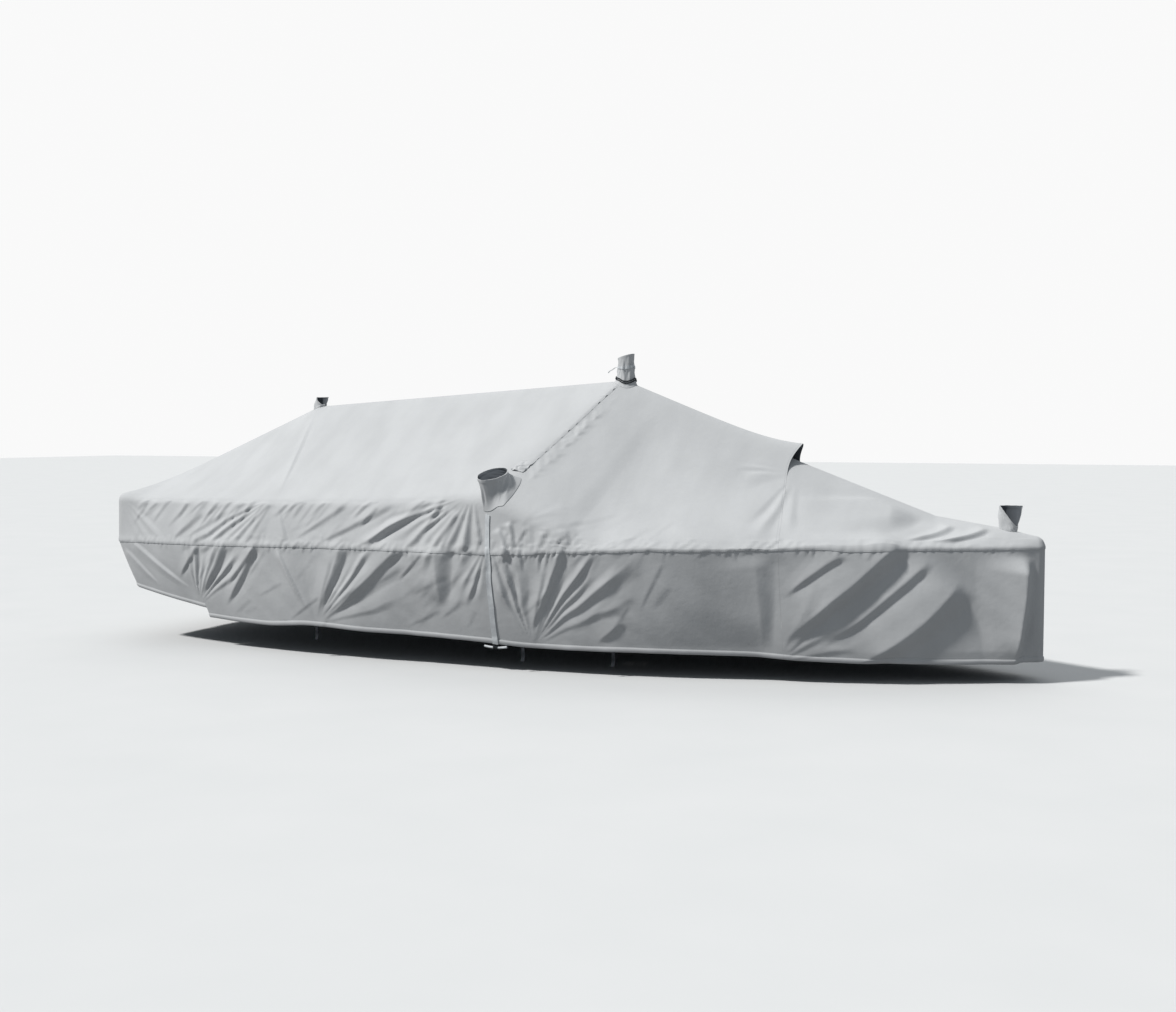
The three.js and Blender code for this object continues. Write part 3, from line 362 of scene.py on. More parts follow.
# Slanting folds that hang from the knee over the aft band
BAND_FOLDS = (46, {
    "heading": (32, 62), "length": (0.140, 0.340), "width": (0.018, 0.036), "x": (-3.700, -0.800),
    "rise": (0.300, 0.370), "depth": (0.0025, 0.0070),
})
# Creases scattered over the sides
SCATTERED_CREASES = (90, {
    "heading": (25, 70), "length": (0.160, 0.400), "width": (0.024, 0.054), "depth": (0.0010, 0.0030),
    "x": (-3.300, 0.700), "rise": (-0.560, 0.300),
})
# Slack of the whole cloth: size and depth of its soft hollows, their share on the roof and where they fade
SLACK_SIZE, SLACK_DEPTH, ROOF_SLACK, ROOF_SLACK_FADE = 0.420, 0.008, 0.18, 0.15
# Its finer creases: size, depth and slant
CREASE_SIZE, CREASE_DEPTH, CREASE_SLANT = 0.090, 0.0030, (0.7, 0.5)
# Cells of the random hollows before they repeat, and a start that keeps their numbers above zero
NOISE_CELLS, NOISE_START = 128, 1000


def smooth(share):
    t = np.clip(share, 0, 1)
    return t * t * (3 - 2 * t)


def mix(a, b, share):
    return a + (b - a) * share


def curve_through(table):
    """Smooth curve through the rows of a table."""
    x, y = np.array(table, float).T
    row = np.arange(len(x))
    before, after = np.maximum(row - 1, 0), np.minimum(row + 1, len(x) - 1)
    slope = (y[after] - y[before]) / (x[after] - x[before])

    def value(place):
        place = np.clip(place, x[0], x[-1])
        k = np.clip(np.searchsorted(x, place) - 1, 0, len(x) - 2)
        span = x[k + 1] - x[k]
        t = (place - x[k]) / span
        rise = y[k + 1] - y[k]
        start, end = slope[k] * span, slope[k + 1] * span
        return y[k] + t * (start + t * (3 * rise - 2 * start - end + t * (start + end - 2 * rise)))

    return value


beam_at = curve_through(BEAM_LINE)
seam_at = curve_through(SEAM_LINE)
knee_rise_at = curve_through(KNEE_LINE)
hem_at = curve_through(HEM_LINE)
stern_hem_at = curve_through(STERN_HEM_LINE)
tuck_at = curve_through(TUCK_LINE)
pucker_at = curve_through(PUCKER_LINE)
lean_at = curve_through(LEAN_LINE)
knee_lean_at = curve_through(KNEE_LEAN_LINE)


def ridge_at(x):
    return np.interp(x, *np.array(RIDGE_LINE).T)


def half_beam(x, level):
    """Half beam at a level, rounded in at the stern corner."""
    left = np.maximum(CORNER_RADIUS - CORNER_CUT - np.maximum(x - LINE_X[level][STERN], 0), 0)
    return beam_at(x) - (CORNER_RADIUS - np.sqrt(CORNER_RADIUS**2 - left**2))


def points(x, y, z):
    return np.stack(np.broadcast_arrays(x, y, z), -1)


def seam_waver(x):
    """How far the rail seam wanders up and down before the closure."""
    start, end = SEAM_WAVER_SPAN
    held = smooth((x - start) / SEAM_WAVER_FADE) * smooth((end - x) / SEAM_WAVER_FADE)
    return SEAM_WAVER * held * cloth_noise(x, 0 * x, SEAM_WAVER_SIZE, seed=41)


def section(u, stern=False):
    """Corner points of the section at pattern place u, on the starboard side."""
    x = {level: np.interp(u, PATTERN, LINE_X[level]) for level in ("ridge", "knee", "seam", "hem")}
    if stern:
        x["hem"] = np.interp(u, PATTERN, LINE_X["stern_hem"])
    hem_z = stern_hem_at(x["hem"]) if stern else hem_at(x["hem"])
    knee_rise = knee_rise_at(x["knee"])
    low = smooth((LOW_KNEE - knee_rise) / LOW_KNEE)
    inset = np.minimum(KNEE_INSET, knee_rise * mix(KNEE_INSET_SHARE, LOW_KNEE_INSET, low))
    inset = np.minimum(inset, LOW_KNEE_BEAM * beam_at(x["knee"]))
    return {
        RIDGE: points(x["ridge"], 0.0, ridge_at(x["ridge"])),
        KNEE: points(x["knee"], inset - half_beam(x["knee"], "knee"), seam_at(x["knee"]) + knee_rise),
        SEAM: points(x["seam"], -half_beam(x["seam"], "seam"), seam_at(x["seam"]) + seam_waver(x["seam"])),
        HEM: points(x["hem"], tuck_at(x["hem"]) - half_beam(x["hem"], "hem"), hem_z),
    }


def distance(a, b):
    return np.linalg.norm(a - b, axis=-1)


def tent_point(corner, share, u, vented):
    """Roof between knee and ridge, a tent with a rounded ridge."""
    knee, ridge = corner[KNEE], corner[RIDGE]
    y = knee[..., 1] * (1 - share)
    reach = np.hypot(knee[..., 1], RIDGE_RADIUS) - RIDGE_RADIUS
    fall = (np.hypot(y, RIDGE_RADIUS) - RIDGE_RADIUS) / reach
    sag = ROOF_SAG * 4 * share * (1 - share) * smooth(-knee[..., 1] / ROOF_SAG_BEAM)
    x = mix(knee[..., 0], ridge[..., 0], share)
    z = mix(ridge[..., 2], knee[..., 2], fall) - sag
    if vented:
        forward = np.clip(u - CLOSURE, 0, 1)
        rise = VENT_RISE * mix(forward, forward**VENT_GROWTH, VENT_LIP)
        z = z + rise * np.exp(-((y / VENT_WIDTH) ** 2))
        x = x + BRIM_REACH * forward**BRIM_GROWTH * np.exp(-((y / BRIM_WIDTH) ** 2))
    return points(x, y, z)


def plain_point(corner, u, q, vented):
    """Cloth at a row, with the knee left sharp."""
    low, band = np.clip(q, 0, 1)[..., None], np.clip(q - SEAM, 0, 1)[..., None]
    skirt = mix(corner[HEM], corner[SEAM], low)
    wide = smooth(-corner[SEAM][..., 1] / SKIRT_BULGE_BEAM)
    skirt[..., 1] -= SKIRT_BULGE * np.sin(math.pi * low[..., 0]) * wide
    side = mix(corner[SEAM], corner[KNEE], band)
    roof = tent_point(corner, np.clip(q - KNEE, 0, 1), u, vented)
    row = q[..., None]
    return np.where(row >= KNEE, roof, np.where(row >= SEAM, side, skirt))


def base_point(u, q, stern=False, vented=False):
    """Unfolded cloth on the starboard side, with the knee rounded."""
    u, q = np.broadcast_arrays(np.asarray(u, float), np.asarray(q, float))
    corner = section(u, stern)
    band_height = distance(corner[SEAM], corner[KNEE])
    roof_length = distance(corner[KNEE], corner[RIDGE])
    arm = np.minimum(np.minimum(KNEE_RADIUS, band_height * KNEE_ARM_SHARE), roof_length / 2)
    lower_arm = arm / band_height
    upper_arm = arm * (1 + LOW_KNEE_SPREAD * smooth((LOW_KNEE - band_height) / LOW_KNEE)) / roof_length
    upper_arm = np.minimum(upper_arm, 0.5)
    t = 0.5 + 0.5 * (q - KNEE) / np.where(q < KNEE, lower_arm, upper_arm)
    inside = ((t > 0) & (t < 1))[..., None]
    t = np.clip(t, 0, 1)[..., None]
    lower = plain_point(corner, u, KNEE - lower_arm, vented)
    upper = plain_point(corner, u, KNEE + upper_arm, vented)
    top = plain_point(corner, u, np.full(u.shape, float(KNEE)), vented)
    rounded = (1 - t) ** 2 * lower + 2 * t * (1 - t) * top + t**2 * upper
    return np.where(inside, rounded, plain_point(corner, u, q, vented))


def base_normal(u, q, **cut):
    """Outward direction of the unfolded cloth."""
    step = 0.001
    u, q = np.broadcast_arrays(np.asarray(u, float), np.asarray(q, float))
    abaft, before = np.maximum(u - step, STERN), np.minimum(u + step, STEM)
    below, above = np.maximum(q - step, HEM), np.minimum(q + step, RIDGE)
    along = base_point(before, q, **cut) - base_point(abaft, q, **cut)
    up = base_point(u, above, **cut) - base_point(u, below, **cut)
    up = np.where((q >= RIDGE)[..., None], np.array((0.0, 1.0, 0.0)), up)
    normal = np.cross(along, up)
    return normal / np.linalg.norm(normal, axis=-1, keepdims=True)


def rise_over_seam(u, q, stern=False):
    """Distance up the cloth from the rail seam."""
    corner = section(np.broadcast_to(u, np.broadcast(u, q).shape), stern)
    skirt = distance(corner[HEM], corner[SEAM])
    band = distance(corner[SEAM], corner[KNEE])
    roof = distance(corner[KNEE], corner[RIDGE])
    above = np.where(q <= KNEE, (q - SEAM) * band, band + (q - KNEE) * roof)
    return np.where(q <= SEAM, (q - SEAM) * skirt, above)


def cloth_noise(x, y, size, seed):
    """Smooth random hollows and bumps of a size, from -1 to 1."""
    lattice = np.random.default_rng(seed).uniform(-1, 1, (NOISE_CELLS, NOISE_CELLS))
    x, y = x / size + NOISE_START, y / size + NOISE_START
    i, j = np.floor(x).astype(int), np.floor(y).astype(int)
    s, t = smooth(x - i), smooth(y - j)

    def cell(a, b):
        return lattice[(i + a) % NOISE_CELLS, (j + b) % NOISE_CELLS]

    return mix(mix(cell(0, 0), cell(1, 0), s), mix(cell(0, 1), cell(1, 1), s), t)


def steep_side(fall):
    """Height down the steep side of a fold, from its crest to its trough."""
    return mix(1, -FOLD_TROUGH, mix(fall, smooth(fall), FOLD_ROUND))


def fold_profile(across, width):
    """Height across a fold: a gentle rise from aft, the crest, a steep fall and a shallow trough."""
    gentle = np.clip(1 - across / (FOLD_GENTLE * width), 0, 1) ** FOLD_CREST
    steep = steep_side(np.clip(-across / width, 0, 1))
    lee = -FOLD_TROUGH * np.clip(1 + (across + width) / (FOLD_LEE * width), 0, 1) ** FOLD_CREST
    return np.where(across > 0, gentle, np.where(across > -width, steep, lee))


def fan_crests(crests):
    """Headings, reaches and strengths of a fan's crests, by the room they have, between two flat ones."""
    heading, reach, strength = np.array(crests, float).T
    heading = np.array([heading[0] - FAN_MARGIN, *heading, heading[-1] + FAN_MARGIN])
    gap = np.diff(heading)
    room = np.radians(np.minimum(gap[:-1], gap[1:]))
    return heading, np.array([reach[0], *reach, reach[-1]]), np.array([0, *(strength * room), 0])


def crest_height(r, reach, strength):
    """Height of a crest at a distance from its tie."""
    grown = smooth(r / FAN_START) * smooth((reach - r) / (FAN_FADE * reach))
    return FAN_HEIGHT * strength * r * grown


def fan_depth(x, rise):
    """How far the fans of folds push the cloth out."""
    total = np.zeros_like(x)
    for tie_x, tie_rise, steep, crests in FANS:
        heading, reach, strength = fan_crests(crests)
        away = np.hypot(x - tie_x, rise - tie_rise)
        near = away < reach.max()
        r = away[near]
        angle = np.degrees(np.arctan2(rise[near] - tie_rise, x[near] - tie_x)) % 360
        angle = np.where(angle > heading[-1] + 90, angle - 360, angle)
        angle = angle + FAN_WAVER * cloth_noise(x[near], rise[near], FAN_WAVER_SIZE, seed=5)
        k = np.clip(np.searchsorted(heading, angle) - 1, 0, len(heading) - 2)
        gap = heading[k + 1] - heading[k]
        share = np.clip((angle - heading[k]) / gap, 0, 1)
        crest, other = (k + 1, k) if steep == BELOW else (k, k + 1)
        s = 1 - share if steep == BELOW else share
        wide = np.radians(gap) * np.maximum(r, FAN_LEAST)
        steepest = np.clip(FAN_LEAST / wide, FAN_STEEP, FAN_EVEN)
        climb = np.clip((s - steepest) / (1 - steepest), 0, 1)
        trough = -FOLD_TROUGH * (1 - climb) ** FOLD_CREST
        fall = np.where(s < steepest, steep_side(np.clip(s / steepest, 0, 1)), trough)
        pushed = crest_height(r, reach[crest], strength[crest]) * fall
        total[near] += pushed + crest_height(r, reach[other], strength[other]) * climb**FOLD_CREST
    return total


def short_fold(x, rise, heading, length, width, depth):
    """Row of the fold table for a short fold about its middle."""
    run_x, run_rise = math.cos(heading) * length / 2, math.sin(heading) * length / 2
    return (x + run_x, rise + run_rise, x - run_x, rise - run_rise, 0.0, width, depth)


def chance_folds(chance, count, spans, hanging=False):
    """Short folds with measures drawn from spans, about their middle or hanging from their top."""
    rows = []
    for _ in range(count):
        fold = {measure: chance.uniform(*span) for measure, span in spans.items()}
        heading = fold["heading"] = math.radians(fold["heading"])
        if hanging:
            fold["x"] -= math.cos(heading) * fold["length"] / 2
            fold["rise"] -= math.sin(heading) * fold["length"] / 2
        rows.append(short_fold(**fold))
    return rows


def small_folds():
    """Short folds across the rail seam, crumples, band folds and creases, as rows of the fold table."""
    chance = np.random.default_rng(8)
    rows = []
    x = LINE_X["seam"][STERN]
    while x < LINE_X["seam"][STEM]:
        heading = math.radians(chance.uniform(*PUCKER_HEADING))
        length, width = chance.uniform(*PUCKER_LENGTH), chance.uniform(*PUCKER_WIDTH)
        depth = float(pucker_at(x)) * chance.uniform(*PUCKER_SHARE)
        rows.append(short_fold(x, chance.uniform(*PUCKER_RISE) * length, heading, length, width, depth))
        x += chance.uniform(*PUCKER_PITCH)
    rows += chance_folds(chance, *CRUMPLES)
    rows += chance_folds(chance, *BAND_FOLDS, hanging=True)
    rows += chance_folds(chance, *SCATTERED_CREASES)
    return rows


def fold_depth(x, rise):
    """How far the folds push the cloth out at a place along the boat and a rise over the rail seam."""
    total = fan_depth(x, rise) * (1 - SEAM_HOLD * np.exp(-((rise / SEAM_HOLD_REACH) ** 2)))
    for top_x, top_rise, foot_x, foot_rise, bow, width, depth in ALL_FOLDS:
        run_x, run_rise = foot_x - top_x, foot_rise - top_rise
        length = math.hypot(run_x, run_rise)
        reach = FOLD_GENTLE * width + abs(bow)
        near = (x > min(top_x, foot_x) - reach) & (x < max(top_x, foot_x) + reach)
        near &= (rise > min(top_rise, foot_rise) - reach) & (rise < max(top_rise, foot_rise) + reach)
        at_x, at_rise = x[near] - top_x, rise[near] - top_rise
        along = (at_x * run_x + at_rise * run_rise) / length**2
        t = np.clip(along, 0, 1)
        across = (at_x * run_rise - at_rise * run_x) / length + bow * 4 * t * (1 - t)
        ends = smooth(along / FOLD_GROW) * smooth((1 - along) / FOLD_DIE)
        spread = width * mix(1, FOLD_FOOT_WIDTH, t**FOLD_TAPER)
        total[near] += depth * ends * fold_profile(across, spread)
    return total


def ladder_folds():
    """Short wrinkles on the mid roof along the fore edge of the closure flap, as rows of the fold table."""
    chance = np.random.default_rng(4)
    rows = []
    corner = section(np.array(float(CLOSURE)))
    band, slope = distance(corner[SEAM], corner[KNEE]), distance(corner[KNEE], corner[RIDGE])
    low, high = LADDER_ROWS
    for share in np.arange(low - KNEE, high - KNEE, LADDER_PITCH / slope):
        share = share + chance.uniform(-LADDER_STRAY, LADDER_STRAY) * LADDER_PITCH / slope
        x = mix(LINE_X["knee"][CLOSURE], LINE_X["ridge"][CLOSURE], share) + LADDER_AHEAD
        heading = math.radians(chance.uniform(*LADDER_HEADING))
        length = LADDER_LENGTH * chance.uniform(*LADDER_LENGTHS)
        depth = LADDER_DEPTH * chance.uniform(*LADDER_DEPTHS)
        rows.append(short_fold(x, band + share * slope, heading, length, LADDER_WIDTH, depth))
    return rows


ALL_FOLDS = [*FOLDS, *small_folds(), *ladder_folds()]


def fine_depth(x, rise, q, seed):
    """Slack of the cloth: soft hollows and finer creases, calmer on the roof."""
    hanging = mix(1, ROOF_SLACK, smooth((q - KNEE) / ROOF_SLACK_FADE))
    slack = SLACK_DEPTH * cloth_noise(x, rise, SLACK_SIZE, seed)
    slant, stretch = CREASE_SLANT
    crease = CREASE_DEPTH * cloth_noise(x + slant * rise, stretch * rise, CREASE_SIZE, seed + 1)
    return (slack + crease) * hanging


def cloth(u, q, side, stern=False, vented=False):
    """Folded cloth at pattern places u and rows q: its middle surface, outward direction and places."""
    u, q = np.broadcast_arrays(np.asarray(u, float), np.asarray(q, float))
    base = base_point(u, q, stern=stern, vented=vented)
    normal = base_normal(u, q, stern=stern, vented=vented)
    rise = rise_over_seam(u, q, stern)
    x = base[..., 0]
    if side == STARBOARD:
        depth = fold_depth(x, rise) + fine_depth(x, rise, q, seed=11)
    else:
        shifted = x + PORT_SHIFT * np.sin(x / PORT_WAVE)
        depth = PORT_SHARE * fold_depth(shifted, rise) + fine_depth(x, rise, q, seed=31)
    depth = depth + lean_at(x) * np.clip(-rise / LEAN_HEIGHT, 0, 1)
    depth = depth - knee_lean_at(x) * np.clip(np.minimum(q - SEAM, RIDGE - q), 0, 1)
    fade = smooth((x - FOLD_STERN) / FOLD_STERN_FADE) * smooth((FOLD_STEM - x) / FOLD_STEM_FADE)
    fade = fade * smooth((FOLD_TOP_ROW - q) / FOLD_TOP_FADE)
    middle = base + normal * (depth * fade + CLOTH / 2)[..., None]
    flip = np.array((1.0, -side, 1.0))
    return middle * flip, normal * flip, np.stack([x, rise], -1)


# Grid of cloth: outer points, under points and places on the cloth for its pattern
Patch = namedtuple("Patch", "outer under place")


def thick_patch(middle, normal, place, half=CLOTH / 2):
    """Patch that stands out by half its thickness on both sides of a middle surface."""
    half = np.broadcast_to(half, middle.shape[:-1])[..., None]
    return Patch(middle + normal * half, middle - normal * half, place)


def outward_faces(grid, outer, lift):
    """Faces of a grid of corner numbers, turned outwards; corners that fell together count once."""
    quads = np.stack([grid[:-1, :-1], grid[1:, :-1], grid[1:, 1:], grid[:-1, 1:]], -1).reshape(-1, 4)
    corner = outer[quads]
    facing = np.cross(corner[:, 2] - corner[:, 0], corner[:, 3] - corner[:, 1])
    if (facing * lift[quads].sum(1)).sum() < 0:
        quads = quads[:, ::-1]
    faces = [tuple(dict.fromkeys(face)) for face in quads.tolist()]
    return [face for face in faces if len(face) > 2]


def sew(name, patches, material, holes=()):
    """Closed sheet made of patches that are joined where their outer points meet, with round holes."""
    outer = np.concatenate([patch.outer.reshape(-1, 3) for patch in patches])
    under = np.concatenate([patch.under.reshape(-1, 3) for patch in patches])
    place = np.concatenate([patch.place.reshape(-1, 2) for patch in patches])
    key = np.round(outer * JOIN_STEPS).astype(np.int64)
    _, first, number = np.unique(key, axis=0, return_index=True, return_inverse=True)
    outer, under, place = outer[first], under[first], place[first]
    faces = []
    start = 0
    for patch in patches:
        end = start + patch.outer[..., 0].size
        grid = number.ravel()[start:end].reshape(patch.outer.shape[:2])
        faces += outward_faces(grid, outer, outer - under)
        start = end
    for x, y, radius in holes:
        away = np.hypot(outer[:, 0] - x, outer[:, 1] - y) > radius
        faces = [face for face in faces if away[list(face)].any()]
    kept = sorted({corner for face in faces for corner in face})
    renumber = {old: new for new, old in enumerate(kept)}
    faces = [tuple(renumber[corner] for corner in face) for face in faces]
    count = len(kept)
    inside = [tuple(corner + count for corner in face[:1] + face[:0:-1]) for face in faces]
    edges = {(a, b) for face in faces for a, b in zip(face, face[1:] + face[:1])}
    rim = [(b, a, a + count, b + count) for a, b in edges if (b, a) not in edges]
    corners = np.concatenate([outer[kept], under[kept]])
    places = np.concatenate([place[kept], place[kept]])
    piece = make_mesh(name, corners, faces + inside + rim, places, material)
    # Inside faces of canvas sheets take the darker canvas: painted shade for the insides of the mouths and
    # the vent
    if material == canvas:
        piece.data.materials.append(painted_shade_canvas)
        back = np.zeros(len(piece.data.polygons), np.int32)
        back[len(faces):len(faces) + len(inside)] = 1
        piece.data.polygons.foreach_set("material_index", back)
    return piece


def make_mesh(name, corners, faces, places, material):
    """Mesh object with smooth faces and a map of its places, in metres."""
    mesh = bpy.data.meshes.new(name)
    mesh.from_pydata(corners.tolist(), [], faces)
    mesh.polygons.foreach_set("use_smooth", np.ones(len(mesh.polygons), bool))
    corner = np.empty(len(mesh.loops), np.int32)
    mesh.loops.foreach_get("vertex_index", corner)
    layer = mesh.uv_layers.new(name="cloth")
    layer.data.foreach_set("uv", places[corner].astype(np.float32).ravel())
    mesh.set_sharp_from_angle(angle=SHARP_ANGLE)
    mesh.materials.append(material)
    piece = bpy.data.objects.new(name, mesh)
    bpy.context.scene.collection.objects.link(piece)
    return piece


# Grid pitch of the cloth along the boat, finer on the side that shows
PITCH = {STARBOARD: 0.0095, PORT: 0.0150}
ROOF_PITCH, MID_PITCH = 0.0120, 0.0160
# Finer part of the mid roof beside the flap, as a share of the panel, and its steps
MID_FINE, MID_FINE_STEPS = 0.14, 25
# Rows of the band, the roofs and the skirts, and how the rows of a roof draw together towards the knee
BAND_ROWS, BOW_BAND_ROWS, ROOF_ROWS, MID_ROWS = 36, 9, 36, 84
SKIRT_ROWS = {STARBOARD: 62, PORT: 40}
ROW_SPREAD = 1.2
# Heights of the rows on the rolled hem
ROLL_HEIGHTS = (0.000, 0.002, 0.006, 0.012, 0.018, 0.024, 0.030, 0.034, 0.040)
# Steps round the stem and across the stern, rows of the gable, and halvings in the search for a place
NOSE_STEPS, STERN_STEPS, GABLE_ROWS, SEARCH_STEPS = 24, 100, 24, 30


def columns(start, end, pitch):
    """Pattern places between two pattern lines, evenly spaced along the rail seam."""
    edges = range(start, end + 1)
    lengths = np.diff(np.interp(edges, PATTERN, LINE_X["seam"]))
    runs = [np.linspace(a, a + 1, round(run / pitch), endpoint=False) for a, run in zip(edges, lengths)]
    return np.concatenate([*runs, [end]])


def place_at(x, row_at):
    """Pattern place where the cloth reaches x, at the row that row_at gives for a pattern place."""
    low, high = np.zeros_like(x), np.full_like(x, STEM)
    for _ in range(SEARCH_STEPS):
        middle = (low + high) / 2
        short = base_point(middle, row_at(middle))[..., 0] < x
        low, high = np.where(short, middle, low), np.where(short, high, middle)
    return (low + high) / 2


def roof_top(x, y, vented):
    """Outer side of the roof close to the ridge, above places on the plan."""
    x, y = np.broadcast_arrays(x, y)

    def row_at(u):
        return RIDGE + np.abs(y) / section(u)[KNEE][..., 1]

    u = place_at(np.array(x, float), row_at)
    middle, normal, _ = cloth(u, row_at(u), STARBOARD, vented=vented)
    top = middle + normal * CLOTH / 2
    top[..., 1] = np.where(y > 0, -top[..., 1], top[..., 1])
    return top


def trim(middle, start, end):
    """Draw the first and last column back by a gap."""
    middle[0, :, 0] += start * EDGE_GAP
    middle[-1, :, 0] -= end * EDGE_GAP


def roof_rows(u, band_rows, rows_above):
    """Rows of a roof half, from the lapped edge below the rail seam up to the ridge."""
    corner = section(u)
    lap = LAP / distance(corner[HEM], corner[SEAM])
    rows = [SEAM - lap, SEAM - lap / 2]
    rows += [np.full(len(u), SEAM + share) for share in np.linspace(0, 1, band_rows)]
    rows += [np.full(len(u), KNEE + share**ROW_SPREAD) for share in np.linspace(0, 1, rows_above)[1:]]
    return np.stack(rows, -1)


def roof_patch(u, q, side, trims, vented=False):
    middle, normal, place = cloth(u[:, None], q, side, vented=vented)
    lift = LAP_LIFT * smooth((LAP_FADE - place[..., 1]) / LAP_FADE)
    middle = middle + normal * lift[..., None]
    trim(middle, *trims)
    return thick_patch(middle, normal, place)


def skirt_patch(start, end, side, trims, stern=False, finest=False):
    """Side of a skirt with its rolled hem; the rows are kept for the turn round the stem."""
    u = columns(start, end, PITCH[side])
    corner = section(u, stern)
    height = distance(corner[HEM], corner[SEAM])[:, None]
    roll = np.array(ROLL_HEIGHTS)[None, :] / height
    rows = SKIRT_ROWS[STARBOARD if finest else side]
    q = np.concatenate([roll, mix(roll[:, -1:], 1.0, np.linspace(0, 1, rows)[None, 1:])], 1)
    middle, normal, place = cloth(u[:, None], q, side, stern=stern)
    trim(middle, *trims)
    rolled = np.clip(1 - (2 * q * height / HEM_ROLL - 1) ** 2, 0, 1)
    return thick_patch(middle, normal, place, CLOTH / 2 + HEM_SWELL * np.sqrt(rolled)), q


def nose_patch(edge, q, end_angle, steps):
    """Cloth turned round the stem from the last column of a starboard side."""
    turns = np.linspace(BOW_ANGLE, end_angle, steps + 1)[:, None]
    share = np.clip(q[-1] - KNEE, 0, 1)[None]
    turned = {}
    for key in ("outer", "under"):
        start = getattr(edge, key)[-1][None]
        radius = -start[..., 1] / math.cos(BOW_ANGLE)
        middle = mix(start[..., 0] - radius * math.sin(BOW_ANGLE), LINE_X["ridge"][STEM], share)
        reach = np.where(share > 0, np.hypot(start[..., 0] - middle, start[..., 1]), radius)
        ring = points(middle + reach * np.sin(turns), -reach * np.cos(turns), start[..., 2])
        ring = np.where(share[..., None] < 1, ring, start)
        ring[0] = start[0]
        if end_angle > math.pi / 2:
            ring[-1] = start[0] * (1, -1, 1)
        turned[key] = ring
    place = edge.place[-1][None] + np.stack([NOSE_RUN * turns, 0 * turns], -1)
    return Patch(turned["outer"], turned["under"], place)


def mirrored(patch, side):
    flip = np.array((1.0, -side, 1.0))
    return Patch(patch.outer * flip, patch.under * flip, patch.place)


def surface_patch(middle, half, outward, closed=False):
    """Patch round a middle surface that faces the way its neighbours give; closed joins its ends."""
    if closed:
        along = np.roll(middle[:-1], -1, 0) - np.roll(middle[:-1], 1, 0)
        along = np.concatenate([along, along[:1]])
    else:
        along = np.gradient(middle, axis=0)
    normal = np.cross(along, np.gradient(middle, axis=1))
    normal /= np.linalg.norm(normal, axis=-1, keepdims=True)
    if (normal * outward).sum() < 0:
        normal = -normal
    run = np.cumsum(np.linalg.norm(np.diff(middle, axis=0), axis=-1).mean(1))
    climb = np.cumsum(np.linalg.norm(np.diff(middle, axis=1), axis=-1).mean(0))
    place = np.stack(np.meshgrid([0, *run], [0, *climb], indexing="ij"), -1)
    return thick_patch(middle, normal, place, half)


def tube(name, path, radius, material, sides=12, closed=False):
    """Round cord along a path, with closed ends or joined in a ring."""
    path = np.asarray(path, float)
    along = np.roll(path, -1, 0) - np.roll(path, 1, 0) if closed else np.gradient(path, axis=0)
    along /= np.linalg.norm(along, axis=-1, keepdims=True)
    across = np.cross(along, (0.0, 0.0, 1.0))
    across /= np.linalg.norm(across, axis=-1, keepdims=True)
    upward = np.cross(across, along)
    angle = np.linspace(0, 2 * math.pi, sides, endpoint=False)
    ring = np.cos(angle)[None, :, None] * across[:, None] + np.sin(angle)[None, :, None] * upward[:, None]
    corners = (path[:, None] + radius * ring).reshape(-1, 3)
    count = len(path)
    faces = []
    for i in range(count if closed else count - 1):
        for j in range(sides):
            k = (j + 1) % sides
            after = (i + 1) % count
            faces.append((i * sides + j, i * sides + k, after * sides + k, after * sides + j))
    if not closed:
        faces += [tuple(reversed(range(sides))), tuple(range((count - 1) * sides, count * sides))]
    run = np.concatenate([[0], np.cumsum(distance(path[1:], path[:-1]))])
    places = np.stack(np.meshgrid(run, radius * angle, indexing="ij"), -1).reshape(-1, 2)
    return make_mesh(name, corners, faces, places, material)


# Colours and nodes of the materials
def linear(hex_colour):
    """Linear colour of an sRGB hex value."""
    values = [int(hex_colour[i:i + 2], 16) / 255 for i in (1, 3, 5)]
    return tuple(v / 12.92 if v <= 0.04045 else ((v + 0.055) / 1.055) ** 2.4 for v in values) + (1.0,)


def add_node(tree, kind, links=None, **settings):
    """Node with its settings; links gives each input, by name or number, a value or an output to join."""
    node = tree.nodes.new(kind)
    for key, value in settings.items():
        setattr(node, key, value)
    for key, value in (links or {}).items():
        if isinstance(value, bpy.types.NodeSocket):
            tree.links.new(value, node.inputs[key])
        else:
            node.inputs[key].default_value = value
    return node


def new_material(name):
    material = bpy.data.materials.new(name)
    material.use_nodes = True
    tree = material.node_tree
    tree.nodes.clear()
    return material, tree


# Weave as drawn: real canvas has about 0.6 mm between threads, too fine to show, so it is drawn coarser
CANVAS_THREAD_MM, WEBBING_RIB_MM = 5.0, 4.0
# Sizes of the other patterns: clouds, streaks along and up the cloth, creases, wear, the twist of a thread
CLOUD_MM, STREAK_MM, CREASE_MM, WEAR_MM, TWIST_MM = 455, (200, 625), 38.5, 33.3, 2.5
# Weight of the clouds against the streaks, and where the darker and the lighter tint lie on each pattern
CLOUD_WEIGHT, CLOUD_STOPS, WEAR_STOPS = 0.7, (0.62, 1.0), (0.3, 0.7)


def wave_scale(spacing_mm):
    """Scale of a wave texture with its bands a spacing apart; it runs 20 radians for each unit."""
    return 2 * math.pi / (spacing_mm / 1000) / 20


